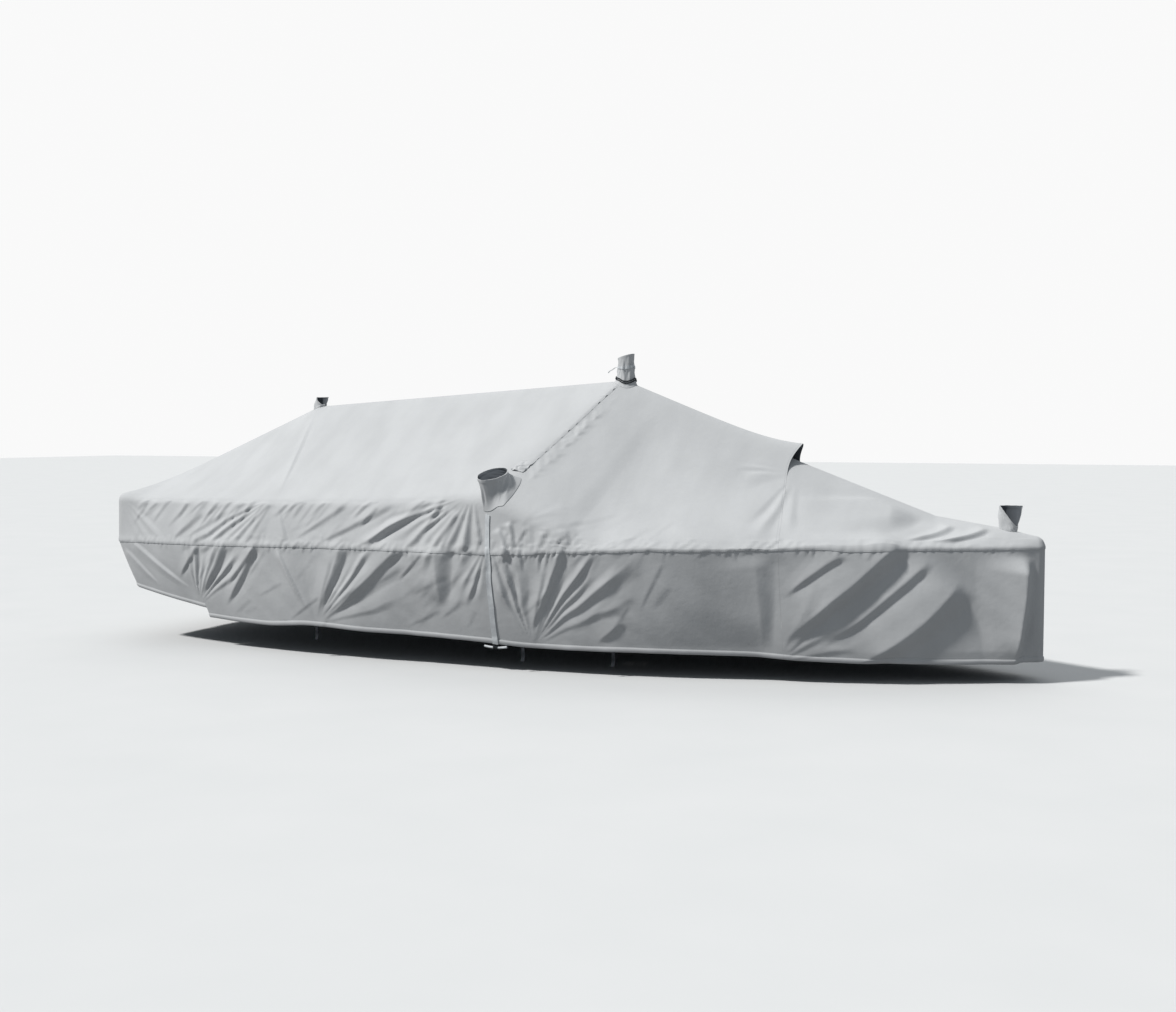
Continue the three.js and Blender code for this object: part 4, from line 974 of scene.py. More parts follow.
def woven_canvas(name, dark, light):
    """Woven acrylic canvas, matt with a faint sheen: clouds and streaks of weather, weave, fine creases."""
    material, tree = new_material(name)
    place = add_node(tree, "ShaderNodeUVMap", uv_map="cloth").outputs["UV"]
    spot = add_node(tree, "ShaderNodeTexCoord").outputs["Object"]
    cloud = add_node(tree, "ShaderNodeTexNoise", {
        "Vector": spot, "Scale": 1000 / CLOUD_MM, "Detail": 5.0, "Roughness": 0.6})
    drawn_out = add_node(tree, "ShaderNodeMapping", {
        "Vector": place, "Scale": (1000 / STREAK_MM[0], 1000 / STREAK_MM[1], 1.0)})
    streak = add_node(tree, "ShaderNodeTexNoise", {
        "Vector": drawn_out.outputs[0], "Scale": 1.0, "Detail": 4.0})
    clouding = add_node(tree, "ShaderNodeMath", {
        0: cloud.outputs["Fac"], 1: CLOUD_WEIGHT, 2: streak.outputs["Fac"]}, operation="MULTIPLY_ADD")
    tint = add_node(tree, "ShaderNodeValToRGB", {"Fac": clouding.outputs[0]})
    for stop, position, colour in zip(tint.color_ramp.elements, CLOUD_STOPS, (dark, light)):
        stop.position, stop.color = position, linear(colour)
    thread_scale = wave_scale(CANVAS_THREAD_MM)
    warp = add_node(tree, "ShaderNodeTexWave", {
        "Vector": place, "Scale": thread_scale}, bands_direction="X")
    weft = add_node(tree, "ShaderNodeTexWave", {
        "Vector": place, "Scale": thread_scale}, bands_direction="Y")
    weave = add_node(tree, "ShaderNodeMath", {
        0: warp.outputs["Fac"], 1: weft.outputs["Fac"]}, operation="MULTIPLY")
    weave_bump = add_node(tree, "ShaderNodeBump", {
        "Height": weave.outputs[0], "Distance": 0.0004, "Strength": 0.35})
    crease = add_node(tree, "ShaderNodeTexNoise", {
        "Vector": spot, "Scale": 1000 / CREASE_MM, "Detail": 3.0, "Roughness": 0.5})
    bump = add_node(tree, "ShaderNodeBump", {
        "Height": crease.outputs["Fac"], "Distance": 0.004, "Strength": 0.35,
        "Normal": weave_bump.outputs[0]})
    shader = add_node(tree, "ShaderNodeBsdfPrincipled", {
        "Base Color": tint.outputs["Color"], "Roughness": 0.86, "Sheen Weight": 0.12,
        "Sheen Roughness": 0.5, "Specular IOR Level": 0.25, "Normal": bump.outputs[0]})
    add_node(tree, "ShaderNodeOutputMaterial", {"Surface": shader.outputs[0]})
    return material


def ribbed_webbing(name, dark, light):
    """Woven webbing: close ribs across its width, matt, a little worn."""
    material, tree = new_material(name)
    place = add_node(tree, "ShaderNodeUVMap", uv_map="cloth").outputs["UV"]
    spot = add_node(tree, "ShaderNodeTexCoord").outputs["Object"]
    wear = add_node(tree, "ShaderNodeTexNoise", {"Vector": spot, "Scale": 1000 / WEAR_MM, "Detail": 4.0})
    tint = add_node(tree, "ShaderNodeValToRGB", {"Fac": wear.outputs["Fac"]})
    for stop, position, colour in zip(tint.color_ramp.elements, WEAR_STOPS, (dark, light)):
        stop.position, stop.color = position, linear(colour)
    rib = add_node(tree, "ShaderNodeTexWave", {
        "Vector": place, "Scale": wave_scale(WEBBING_RIB_MM)}, bands_direction="Y")
    bump = add_node(tree, "ShaderNodeBump", {
        "Height": rib.outputs["Fac"], "Distance": 0.0006, "Strength": 0.5})
    shader = add_node(tree, "ShaderNodeBsdfPrincipled", {
        "Base Color": tint.outputs["Color"], "Roughness": 0.8, "Specular IOR Level": 0.3,
        "Normal": bump.outputs[0]})
    add_node(tree, "ShaderNodeOutputMaterial", {"Surface": shader.outputs[0]})
    return material


canvas = woven_canvas("silver_grey_canvas", "#c0c2c4", "#c8cacc")
# Painted shade: the inside faces of the canvas sheets take a duller, much darker canvas so that the mouths
# of the boots and the vent look dark inside
painted_shade_canvas = woven_canvas("painted_shade_canvas_back", "#565b61", "#62676d")
pale_webbing = ribbed_webbing("pale_webbing", "#c8ccd0", "#dde1e4")
dark_webbing = ribbed_webbing("dark_webbing", "#1d2125", "#31363b")


def sewing_thread(name, dark, light):
    """Polyester thread: smooth twisted yarn with a soft shine."""
    material, tree = new_material(name)
    spot = add_node(tree, "ShaderNodeTexCoord").outputs["Object"]
    twist = add_node(tree, "ShaderNodeTexNoise", {"Vector": spot, "Scale": 1000 / TWIST_MM, "Detail": 2.0})
    tint = add_node(tree, "ShaderNodeValToRGB", {"Fac": twist.outputs["Fac"]})
    for stop, colour in zip(tint.color_ramp.elements, (dark, light)):
        stop.color = linear(colour)
    shader = add_node(tree, "ShaderNodeBsdfPrincipled", {
        "Base Color": tint.outputs["Color"], "Roughness": 0.55})
    add_node(tree, "ShaderNodeOutputMaterial", {"Surface": shader.outputs[0]})
    return material


thread = sewing_thread("polyester_thread", "#8f9498", "#a6abae")


def stitch_tree():
    """Stitches along guide lines: a rounded stitch at each pitch, along the line and flat on the cloth."""
    tree = bpy.data.node_groups.new("stitch_rows", "GeometryNodeTree")
    tree.interface.new_socket("Geometry", in_out="INPUT", socket_type="NodeSocketGeometry")
    for name in ("Pitch", "Length", "Width", "Height"):
        tree.interface.new_socket(name, in_out="INPUT", socket_type="NodeSocketFloat")
    tree.interface.new_socket("Geometry", in_out="OUTPUT", socket_type="NodeSocketGeometry")
    given = add_node(tree, "NodeGroupInput").outputs
    line = add_node(tree, "GeometryNodeMeshToCurve", {"Mesh": given["Geometry"]})
    spaced = add_node(tree, "GeometryNodeResampleCurve", {
        "Curve": line.outputs[0], "Length": given["Pitch"]}, mode="LENGTH")
    run = add_node(tree, "GeometryNodeInputTangent")
    outward = add_node(tree, "GeometryNodeInputNamedAttribute", {
        "Name": "outward"}, data_type="FLOAT_VECTOR")
    turn = add_node(tree, "FunctionNodeAxesToRotation", {
        "Primary Axis": outward.outputs[0], "Secondary Axis": run.outputs["Tangent"]},
        primary_axis="Z", secondary_axis="X")
    bead = add_node(tree, "GeometryNodeMeshUVSphere", {"Segments": 6, "Rings": 4, "Radius": 0.5})
    sizes = add_node(tree, "ShaderNodeCombineXYZ", {
        "X": given["Length"], "Y": given["Width"], "Z": given["Height"]})
    stitch = add_node(tree, "GeometryNodeTransform", {
        "Geometry": bead.outputs["Mesh"], "Scale": sizes.outputs[0]})
    rows = add_node(tree, "GeometryNodeInstanceOnPoints", {
        "Points": spaced.outputs[0], "Instance": stitch.outputs[0], "Rotation": turn.outputs[0]})
    real = add_node(tree, "GeometryNodeRealizeInstances", {"Geometry": rows.outputs[0]})
    shown = add_node(tree, "GeometryNodeSetMaterial", {"Geometry": real.outputs[0], "Material": thread})
    add_node(tree, "NodeGroupOutput", {"Geometry": shown.outputs[0]})
    return tree


# Stitches, drawn coarser than the real 4 mm so that they show: pitch, length, width and height
STITCH = {"Pitch": 0.012, "Length": 0.0085, "Width": 0.0020, "Height": 0.0014}
stitches = stitch_tree()


def stitch_rows(name, lines, node):
    """Rows of stitches along lines of cloth, each given by its points and outward directions."""
    corners = np.concatenate([line for line, _ in lines])
    outward = np.concatenate([normal for _, normal in lines])
    ends = np.cumsum([len(line) for line, _ in lines])
    edges = [(k, k + 1) for k in range(len(corners) - 1) if k + 1 not in ends]
    guide = bpy.data.meshes.new(name)
    guide.from_pydata(corners.tolist(), edges, [])
    facing = guide.attributes.new("outward", "FLOAT_VECTOR", "POINT")
    facing.data.foreach_set("vector", outward.astype(np.float32).ravel())
    piece = bpy.data.objects.new(name, guide)
    bpy.context.scene.collection.objects.link(piece)
    modifier = piece.modifiers.new("stitches", "NODES")
    modifier.node_group = stitches
    for socket in stitches.interface.items_tree:
        if socket.name in STITCH:
            modifier[socket.identifier] = STITCH[socket.name]
    seen = bpy.context.evaluated_depsgraph_get()
    mesh = bpy.data.meshes.new_from_object(piece.evaluated_get(seen), depsgraph=seen)
    piece.modifiers.remove(modifier)
    mesh.polygons.foreach_set("use_smooth", np.ones(len(mesh.polygons), bool))
    piece.data = mesh
    finish_piece(piece, node)


def finish_piece(piece, node):
    """Give a piece its body and hide the part of the node that it stands for."""
    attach(piece, "root")
    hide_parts(node)


def make_roofs():
    for name, start, end, trims, holes in (
        ("aft", STERN, CLOSURE, (0, 1), (MAST_HOLE, BOOM_END_HOLE, *SHROUD_HOLES)),
        ("mid", CLOSURE, PEAK, (1, 1), (MAST_HOLE, *SHROUD_HOLES)),
        ("bow", PEAK, STEM, (1, 0), (FORESTAY_HOLE,)),
    ):
        u = columns(start, end, ROOF_PITCH if name == "aft" else MID_PITCH)
        if name == "mid":
            fine = np.linspace(CLOSURE, CLOSURE + MID_FINE, MID_FINE_STEPS)
            u = np.unique(np.concatenate([fine, u[u > CLOSURE + MID_FINE]]))
        band_rows = BOW_BAND_ROWS if name == "bow" else BAND_ROWS
        q = roof_rows(u, band_rows, MID_ROWS if name == "mid" else ROOF_ROWS)
        patches = [roof_patch(u, q, side, trims, vented=name == "mid") for side in SIDES.values()]
        if name == "bow":
            patches.append(nose_patch(patches[0], q, math.pi - BOW_ANGLE, NOSE_STEPS))
        finish_piece(sew(f"{name}_roof", patches, canvas, holes), f"roof_{name}")


def make_skirts():
    for side_name, side in SIDES.items():
        for name, start, end in (("aft", QUARTER, CLOSURE), ("mid", CLOSURE, PEAK), ("bow", PEAK, STEM)):
            patch, q = skirt_patch(start, end, side, (1, name != "bow"))
            patches = [patch]
            if name == "bow":
                nose = nose_patch(mirrored(patch, side), q, math.pi / 2 - NOSE_GAP, NOSE_STEPS // 2)
                patches.append(mirrored(nose, side))
            skirt = sew(f"{name}_skirt_{side_name}", patches, canvas)
            finish_piece(skirt, f"skirt_{name}_{side_name}")


def stern_panel(sides, face):
    """Cloth across the stern between the first columns of its two sides, on its outer or under face."""
    starboard, port = (getattr(side, face)[0][None] for side in sides)
    share = np.linspace(0, 1, STERN_STEPS + 1)[:, None]
    level = np.linspace(0, 1, starboard.shape[1])
    free = np.sin(math.pi * share)
    grid = mix(starboard, port, share[..., None])
    y, z = grid[..., 1], grid[..., 2]
    crown = STERN_CROWN * 4 * share * (1 - share) * (1 - level)
    hollow = cloth_noise(y, STERN_SLACK_STRETCH * z, STERN_SLACK_SIZE, seed=7)
    wave = cloth_noise(y, STERN_RIPPLE_STRETCH * z, STERN_RIPPLE_SIZE, seed=29)
    slack = STERN_SLACK * free * np.sin(math.pi * level) * hollow
    grid[..., 0] -= crown + slack + STERN_RIPPLE * free * (1 - level) * wave
    grid[-1] = port[0]
    return grid


def gable_half(side):
    """Half of the gable, from the lapped seam up to the roof's edge, along the edge of the band."""
    q = np.linspace(KNEE, RIDGE, ROOF_ROWS)
    top = cloth(float(STERN), q, side)[0]
    band = cloth(float(STERN), np.linspace(SEAM, KNEE, GABLE_ROWS), side)[0]
    band[0, 2] -= LAP
    climb = ((band[:, 2] - band[0, 2]) / (band[-1, 2] - band[0, 2]))[None, :, None]
    across = (top[:, 1] / band[-1, 1])[:, None]
    foot = points(band[0, 0], 0.0, band[0, 2])
    middle = mix(foot, top[:, None], climb)
    middle[..., 1] = across * (band[:, 1] + side * GABLE_REACH)
    free = np.sin(math.pi * climb[..., 0]) * smooth((q - KNEE)[:, None] / GABLE_HELD)
    y, z = middle[..., 1], middle[..., 2]
    slant, stretch = GABLE_CREASE_SLANT
    hollow = GABLE_SLACK * cloth_noise(y, z, GABLE_SLACK_SIZE, seed=9)
    crease = cloth_noise(np.abs(y) + slant * z, stretch * z, GABLE_CREASE_SIZE, seed=33)
    middle[..., 0] -= GABLE_GAP + (hollow + GABLE_CREASE * crease) * free
    return surface_patch(middle, CLOTH / 2, np.array((-1.0, 0.0, 0.0)))


def make_stern():
    sides = [
        skirt_patch(STERN, QUARTER, side, (0, 1), stern=True, finest=True)[0] for side in SIDES.values()
    ]
    outer, under = (stern_panel(sides, face) for face in ("outer", "under"))
    skirt = sew("stern_skirt_wrap", [*sides, Patch(outer, under, outer[..., 1:])], canvas)
    finish_piece(skirt, "stern_skirt")
    gable = sew("stern_gable_panel", [gable_half(side) for side in SIDES.values()], canvas)
    finish_piece(gable, "stern_gable")


def strip_on_cloth(name, u, q, side, lift, material, half=CLOTH / 2, vented=False):
    """Strip that lies on the cloth at pattern places u and rows q."""
    middle, normal, place = cloth(u, q, side, vented=vented)
    middle = middle + normal * (CLOTH + lift)[..., None]
    return sew(name, [thick_patch(middle, normal, place, half)], material)


def closure_place(shift):
    """Pattern place a distance along the rail seam from the closure."""
    seam = LINE_X["seam"]
    span = np.where(shift < 0, seam[CLOSURE] - seam[HIP], seam[PEAK] - seam[CLOSURE])
    return CLOSURE + shift / span


def make_cords():
    along = np.linspace(-0.5, 0.5, CORD_STEPS)
    turn = np.linspace(0, 2 * math.pi * LASHING_TURNS, LASHING_STEPS * LASHING_TURNS)
    run = LASHING_LENGTH * np.linspace(-0.5, 0.5, len(turn))
    reach = CORD_RADIUS + LASHING_RADIUS
    winding = points(run, reach * np.cos(turn), reach * np.sin(turn))
    for side_name, side in SIDES.items():
        hem = cloth(closure_place(CORD_LENGTH * along), 0.0, side)[0]
        height = hem[:, 2].min() - HEM_SWELL / 2 - CORD_RADIUS - SEAT
        middle = np.array((*hem[CORD_STEPS // 2, :2], height))
        path = middle + points(CORD_LENGTH * along, 0.0, -CORD_SAG * (1 - (2 * along) ** 2))
        cord = tube(f"closure_cord_line_{side_name}", path, CORD_RADIUS, pale_webbing)
        finish_piece(cord, f"closure_cord_{side_name}")
        coils = middle - (0, 0, CORD_SAG) + winding
        lashing = tube(f"closure_lashing_{side_name}", coils, LASHING_RADIUS, dark_webbing, LASHING_SIDES)
        finish_piece(lashing, f"closure_cord_{side_name}")


def make_flap(side_name, side):
    q = np.linspace(*FLAP_ROWS, FLAP_STEPS[1])[None, :]
    rise = rise_over_seam(np.full_like(q, CLOSURE), q)
    dash = smooth((np.cos(2 * math.pi * rise / LADDER_PITCH) - DASH_START) / DASH_GROWTH)
    uneven = cloth_noise(rise, 0 * rise, DASH_SIZE * LADDER_PITCH, seed=19)
    dash = dash * smooth(DASH_SHARE + DASH_CHANCE * uneven)
    across = np.linspace(0, 1, FLAP_STEPS[0])[:, None]
    shift = mix(FLAP_AFT, FLAP_FORE - FLAP_SCALLOP * dash, across)
    bunch = smooth((FLAP_ROWS[0] + FLAP_BUNCH_ROWS - q) / FLAP_BUNCH_FADE)
    lump = np.abs(cloth_noise(shift + FLAP_BUNCH_SLANT * rise, rise, FLAP_BUNCH_SIZE, seed=13))
    half = CLOTH / 2 * mix(1, FLAP_EDGE_SHARE, smooth((across - 0.5) / 0.5) * (1 - bunch))
    lift = FLAP_SEAT + FLAP_LIFT * dash * across**3 + FLAP_BUNCH * bunch * lump - CLOTH / 2 + half
    name = f"closure_flap_strip_{side_name}"
    flap = strip_on_cloth(name, closure_place(shift), q, side, lift, canvas, half, vented=True)
    finish_piece(flap, f"closure_flap_{side_name}")


def make_strap(side_name, side):
    q = np.linspace(0, STRAP_TOP_ROW, STRAP_STEPS[1])[None, :]
    rise = rise_over_seam(np.full_like(q, CLOSURE), q)
    width = mix(STRAP_HALF_FOOT, STRAP_HALF_TOP, q / STRAP_TOP_ROW)
    waver = STRAP_WAVER * cloth_noise(rise, 0 * rise, STRAP_WAVER_SIZE, seed=17)
    shift = waver + width * np.linspace(-1, 1, STRAP_STEPS[0])[:, None]
    climb = smooth((HEM_ROLL * STRAP_CLIMB - q * STRAP_SKIRT) / HEM_ROLL)
    lift = STRAP_SEAT + HEM_SWELL * climb + 0 * shift
    name = f"closure_strap_tape_{side_name}"
    strap = strip_on_cloth(name, closure_place(shift), q, side, lift, pale_webbing)
    finish_piece(strap, f"closure_strap_{side_name}")


def make_closures():
    for side_name, side in SIDES.items():
        make_flap(side_name, side)
        make_strap(side_name, side)


def ring_angles(count, start=0.0, end=2 * math.pi):
    return np.linspace(start, end, count + 1)[:, None]


def rim_swell(t, rim):
    """Half thickness up a wall that ends in a rolled rim."""
    swell, start, run = rim
    return CLOTH / 2 + swell * smooth((t - start) / run)


def boot_wall(base, rim, rows, ripple, seed):
    """Wall of a boot from its base to its rim, bellied and rippled as slack cloth is."""
    t = np.linspace(0, 1, rows)[None, :]
    wall = mix(base[:, None], rim[:, None], t[..., None])
    out = wall - wall.mean(0, keepdims=True)
    out /= np.linalg.norm(out, axis=-1, keepdims=True)
    angle = np.linspace(0, 2 * math.pi, len(base))[:, None]
    around, across = np.cos(angle) + RIPPLE_SLANT[0] * t, np.sin(angle) + RIPPLE_SLANT[1] * t
    coarse, fine = (cloth_noise(around, across, size, seed + k) for k, size in enumerate(RIPPLE_SIZES))
    free = (RIPPLE_LEAST + np.sin(math.pi * t)) * smooth(t / RIPPLE_START)
    depth = ripple * (coarse + RIPPLE_FINE * fine) * free
    return wall + out * depth[..., None], out, rim_swell(t, BOOT_RIM)


def make_shroud_boots():
    steps, rows = SHROUD_BOOT_STEPS
    angle = ring_angles(steps)[:, 0]
    cos, sin = np.cos(angle), np.sin(angle)
    base, mouth = SHROUD_BASE, SHROUD_MOUTH
    full = 1 - BOOT_CUT * ((sin < 0) & (cos > 0)) * np.sin(2 * angle) ** 2
    q = base["row"] + full * (base["fore_row"] * cos + base["in_row"] * sin)
    x = base["x"] + full * (base["fore_x"] * cos + base["in_x"] * sin)
    u = place_at(x, lambda place: q)
    turn = math.radians(mouth["turn"])
    along, across = mouth["radii"][0] * cos, mouth["radii"][1] * sin
    forward = along * math.cos(turn) - across * math.sin(turn)
    inward = along * math.sin(turn) + across * math.cos(turn)
    height = mouth["z"] + mouth["slants"][0] * forward + mouth["slants"][1] * inward
    for side_name, side in SIDES.items():
        middle, normal, _ = cloth(u, q, side)
        foot = middle + normal * (CLOTH + SEAT)
        rim = points(mouth["x"] + forward, side * (mouth["y"] - inward), height)
        wall, out, swell = boot_wall(foot, rim, rows, SHROUD_RIPPLE, seed=21)
        patch = surface_patch(wall, swell, out, closed=True)
        boot = sew(f"shroud_boot_wall_{side_name}", [patch], canvas)
        finish_piece(boot, f"shroud_boot_{side_name}")


def make_ridge_boots():
    steps, rows = RIDGE_BOOT_STEPS
    angle = ring_angles(steps, BOOT_SLIT, 2 * math.pi - BOOT_SLIT)[:, 0]
    cos, sin = np.cos(angle), np.sin(angle)
    fall = BOOT_FALL * smooth((angle - math.pi) / (math.pi - BOOT_SLIT))[:, None]
    for name, roof, hole, boot in (
        ("forestay_boot", "roof_bow", FORESTAY_HOLE, FORESTAY_BOOT),
        ("boom_end_boot", "roof_aft", BOOM_END_HOLE, BOOM_END_BOOT),
    ):
        foot = roof_top(hole[0] + boot["radii"][0] * cos, boot["radii"][1] * sin, vented=False)
        foot[:, 2] += SEAT
        rim = points(boot["rim_x"] + boot["rim_radii"][0] * cos, boot["rim_radii"][1] * sin, boot["rim_z"])
        wall, out, swell = boot_wall(foot, mix(rim, foot, fall), rows, RIDGE_BOOT_RIPPLE, seed=23)
        piece = sew(f"{name}_wall", [surface_patch(wall, swell, out)], canvas)
        finish_piece(piece, name)


def collar_point(angle, t, shift):
    """Point on the collar by angle and by share of its height, moved out by a shift."""
    foot = COLLAR_BASE + shift
    low = roof_top(foot * np.cos(angle), foot * np.sin(angle), vented=True)
    x, y = (COLLAR_TOP_X + shift) * np.cos(angle), (COLLAR_TOP_Y + shift) * np.sin(angle)
    high = points(x, y, COLLAR_TOP_Z + COLLAR_SLANT * x)
    point = mix(low, high, (1 - (1 - t) ** COLLAR_NECK)[..., None])
    wrinkle = sum(depth * np.sin(count * angle + twist * t) for depth, count, twist in COLLAR_WRINKLES)
    along_slant, across_slant = COLLAR_LUMP_SLANT
    around = COLLAR_BASE * np.cos(angle) + along_slant * t
    across = COLLAR_BASE * np.sin(angle) + across_slant * t
    wrinkle = wrinkle + COLLAR_LUMP * cloth_noise(around, across, COLLAR_LUMP_SIZE, seed=27)
    wrinkle = wrinkle * np.sin(math.pi * t)
    point[..., 0] += wrinkle * np.cos(angle)
    point[..., 1] += wrinkle * np.sin(angle)
    point[..., 2] = mix(low[..., 2], high[..., 2], t) + SEAT
    return point


def collar_band(t, shift, half):
    """Cloth right round the collar at rows t."""
    angle = ring_angles(COLLAR_STEPS[0])
    outward = np.concatenate([np.cos(angle), np.sin(angle), 0 * angle], -1)[:, None]
    return surface_patch(collar_point(angle + 0 * t, t + 0 * angle, shift), half, outward, closed=True)


def make_collar():
    t = np.linspace(0, 1, COLLAR_STEPS[1])[None, :]
    wall = sew("mast_collar_wall", [collar_band(t, -CLOTH / 2, rim_swell(t, COLLAR_RIM))], canvas)
    finish_piece(wall, "mast_collar")
    t = np.linspace(*TIE_ROWS, TIE_STEPS)[None, :]
    band = collar_band(t, TIE_SEAT + TIE_THICKNESS / 2, TIE_THICKNESS / 2)
    tie = sew("mast_collar_tie_band", [band], pale_webbing)
    finish_piece(tie, "mast_collar_tie")
    angle = ring_angles(COLLAR_STEPS[0])[:-1]
    for number, row in enumerate(DRAWCORD_ROWS):
        path = collar_point(angle, np.full_like(angle, row), DRAWCORD_RADIUS)[:, 0]
        name = f"mast_collar_cord_{number}"
        cord = tube(name, path, DRAWCORD_RADIUS, dark_webbing, DRAWCORD_SIDES, closed=True)
        finish_piece(cord, "mast_collar_drawcord")


def waving(share, wave):
    """How far a hanging strip waves at a share of its length."""
    reach, radians = wave
    return reach * np.sin(radians * share)


def make_tie_tail():
    row = np.array([[sum(TIE_ROWS) / 2]])
    start = collar_point(np.array([[math.pi]]), row, TIE_THICKNESS + SEAT)[0, 0]
    share = np.linspace(0, 1, TAIL_STEPS[0])[:, None]
    half = np.linspace(-0.5, 0.5, TAIL_STEPS[1])[None, :]
    x = start[0] - SEAT - TAIL_LENGTH * share
    y = start[1] + TAIL_WIDTH * half + waving(share, TAIL_SWAY) * share
    z = start[2] - TAIL_DROP * share**2 + waving(share, TAIL_WAVE) * share
    strip = surface_patch(points(x, y, z), TAIL_HALF, np.array((0.0, 0.0, 1.0)))
    tail = sew("mast_collar_tie_end", [strip], pale_webbing)
    finish_piece(tail, "mast_collar_tie_tail")


def stitch_line(u, q, side, lift, vented=False):
    """Line on the cloth for a row of stitches, with its outward directions."""
    middle, normal, _ = cloth(u, q, side, vented=vented)
    return middle + normal * lift, normal


def make_stitches():
    """Stitches along the laps of the roofs, the hems and the seam below the peak."""
    spans = {"aft": (STERN, CLOSURE), "mid": (CLOSURE, PEAK), "bow": (PEAK, STEM)}
    for name, (start, end) in spans.items():
        mid = name == "mid"
        u = columns(start, end, PITCH[STARBOARD])
        corner = section(u)
        q = SEAM - LAP * STITCH_ROW / distance(corner[HEM], corner[SEAM])
        lines = [stitch_line(u, q, side, LAP_LIFT + CLOTH / 2, vented=mid) for side in SIDES.values()]
        if mid:
            rows = np.linspace(SEAM, RIDGE, PEAK_STITCH_STEPS)
            beside = PEAK - PEAK_STITCH_EDGE
            lines += [stitch_line(beside, rows, side, CLOTH / 2, vented=True) for side in SIDES.values()]
        stitch_rows(f"rail_stitches_{name}", lines, f"roof_{name}")
        u = columns(max(start, QUARTER), end, PITCH[STARBOARD])
        corner = section(u)
        q = (HEM_ROLL + HEM_STITCH) / distance(corner[HEM], corner[SEAM])
        for side_name, side in SIDES.items():
            line = stitch_line(u, q, side, CLOTH / 2)
            stitch_rows(f"hem_stitches_{name}_{side_name}", [line], f"skirt_{name}_{side_name}")


def make_tabs():
    across = np.linspace(-0.5, 0.5, TAB_STEPS[0])[:, None]
    drop = np.linspace(0, 1, TAB_STEPS[1])[None, :]
    waist = TAB_WAIST * np.exp(-((drop - TAB_WAIST_PLACE) / TAB_WAIST_LENGTH) ** 2)
    spread = TAB_WIDTH * (1 - waist)
    for side_name, side in SIDES.items():
        for number, x in enumerate(TAB_PLACES, 1):
            u = place_at(x + TAB_WIDTH * across[:, 0], np.zeros_like)
            hem = cloth(u, np.zeros_like(u), side)[0][:, None]
            middle = np.repeat(hem, drop.size, 1)
            middle[..., 0] = x + across * spread + waving(drop, TAB_SWAY) * drop
            middle[..., 1] += side * waving(drop, TAB_WAVE)
            middle[..., 2] -= SEAT + TAB_LENGTH * drop
            strip = surface_patch(middle, TAB_THICKNESS / 2, np.array((0.0, side, 0.0)))
            tab = sew(f"hem_tab_webbing_{number}_{side_name}", [strip], dark_webbing)
            finish_piece(tab, f"hem_tab_{number}_{side_name}")


# Floor: height, reach and the size of its faint grain
FLOOR_Z, FLOOR_REACH, FLOOR_GRAIN_MM = -1.975, 60, 667
# Camera: place, turn towards the stern, tilt down, focal length and image width in pixels, and sensor width
CAMERA_PLACE = (3.890, -9.415, -0.355)
CAMERA_YAW, CAMERA_PITCH = math.radians(24), math.radians(3.107)
FOCAL_PIXELS, IMAGE_WIDTH, SENSOR = 1400, 1176, 36.0
# Lights: direction, strength and breadth in degrees; then their colour, the sky's light and the pale wall
LIGHTS = {"key": ((0.47, 0.41, -0.78), 3.2, 6), "fill": ((0.20, -0.66, -0.72), 0.75, 60)}
LIGHT_COLOUR = (1.0, 0.985, 0.96)
SKY_COLOUR, SKY_STRENGTH = (0.90, 0.985, 1.06, 1.0), 0.27
WALL_COLOUR, WALL_STRENGTH = (1.0, 1.0, 1.0, 1.0), 0.95


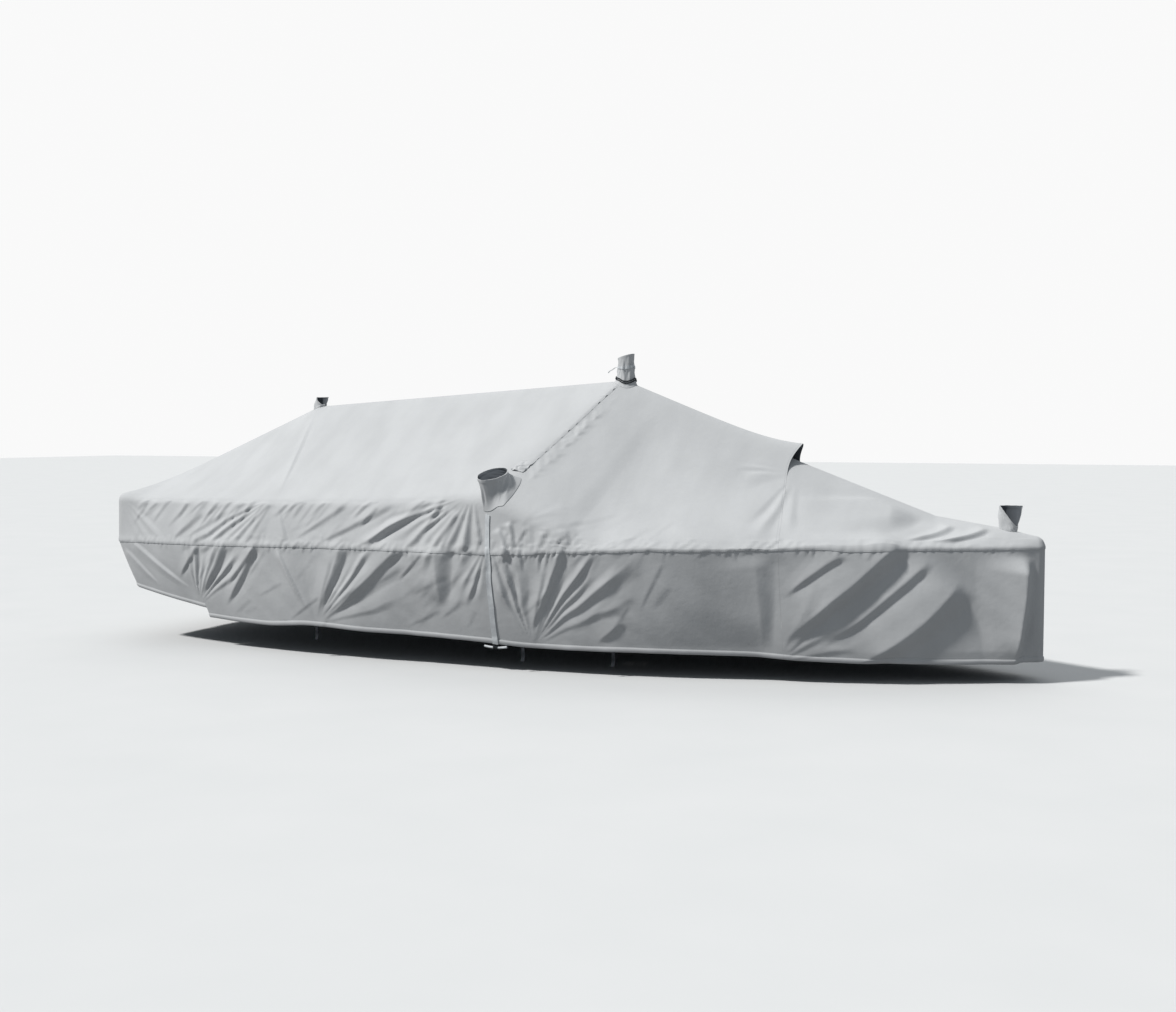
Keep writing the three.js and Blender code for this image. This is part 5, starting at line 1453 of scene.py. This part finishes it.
def make_stage():
    mesh = bpy.data.meshes.new("floor")
    square = ((-1, -1), (1, -1), (1, 1), (-1, 1))
    mesh.from_pydata([(x * FLOOR_REACH, y * FLOOR_REACH, FLOOR_Z) for x, y in square], [], [(0, 1, 2, 3)])
    material, tree = new_material("pale_floor")
    spot = add_node(tree, "ShaderNodeTexCoord").outputs["Object"]
    grain = add_node(tree, "ShaderNodeTexNoise", {
        "Vector": spot, "Scale": 1000 / FLOOR_GRAIN_MM, "Detail": 3.0})
    tint = add_node(tree, "ShaderNodeValToRGB", {"Fac": grain.outputs["Fac"]})
    for stop, colour in zip(tint.color_ramp.elements, ("#d2d4d5", "#d8d9da")):
        stop.color = linear(colour)
    ray = add_node(tree, "ShaderNodeLightPath").outputs["Is Camera Ray"]
    bounce = add_node(tree, "ShaderNodeBsdfDiffuse", {"Color": linear("#7f8081")})
    seen = add_node(tree, "ShaderNodeBsdfDiffuse", {"Color": tint.outputs["Color"]})
    shader = add_node(tree, "ShaderNodeMixShader", {0: ray, 1: bounce.outputs[0], 2: seen.outputs[0]})
    add_node(tree, "ShaderNodeOutputMaterial", {"Surface": shader.outputs[0]})
    mesh.materials.append(material)
    floor = bpy.data.objects.new("floor", mesh)
    bpy.context.scene.collection.objects.link(floor)


def make_light():
    for name, (direction, energy, angle) in LIGHTS.items():
        lamp = bpy.data.lights.new(name, "SUN")
        lamp.energy = energy
        lamp.angle = math.radians(angle)
        lamp.color = LIGHT_COLOUR
        light = bpy.data.objects.new(name, lamp)
        light.rotation_mode = "QUATERNION"
        light.rotation_quaternion = Vector(direction).to_track_quat("-Z", "Y")
        bpy.context.scene.collection.objects.link(light)
    world = bpy.data.worlds.new("studio")
    world.use_nodes = True
    tree = world.node_tree
    tree.nodes.clear()
    ray = add_node(tree, "ShaderNodeLightPath").outputs["Is Camera Ray"]
    sky = add_node(tree, "ShaderNodeBackground", {"Color": SKY_COLOUR, "Strength": SKY_STRENGTH})
    wall = add_node(tree, "ShaderNodeBackground", {"Color": WALL_COLOUR, "Strength": WALL_STRENGTH})
    shown = add_node(tree, "ShaderNodeMixShader", {0: ray, 1: sky.outputs[0], 2: wall.outputs[0]})
    add_node(tree, "ShaderNodeOutputWorld", {"Surface": shown.outputs[0]})
    bpy.context.scene.world = world


def make_camera():
    data = bpy.data.cameras.new("camera")
    data.sensor_width = SENSOR
    data.lens = SENSOR * FOCAL_PIXELS / IMAGE_WIDTH
    camera = bpy.data.objects.new("camera", data)
    camera.location = CAMERA_PLACE
    camera.rotation_euler = (math.pi / 2 - CAMERA_PITCH, 0, CAMERA_YAW)
    bpy.context.scene.collection.objects.link(camera)
    bpy.context.scene.camera = camera


make_camera()
make_cords()
make_roofs()
make_skirts()
make_stern()
make_closures()
make_shroud_boots()
make_ridge_boots()
make_collar()
make_tie_tail()
make_tabs()
make_stitches()
make_stage()
make_light()
bpy.context.scene.view_settings.view_transform = "Standard"
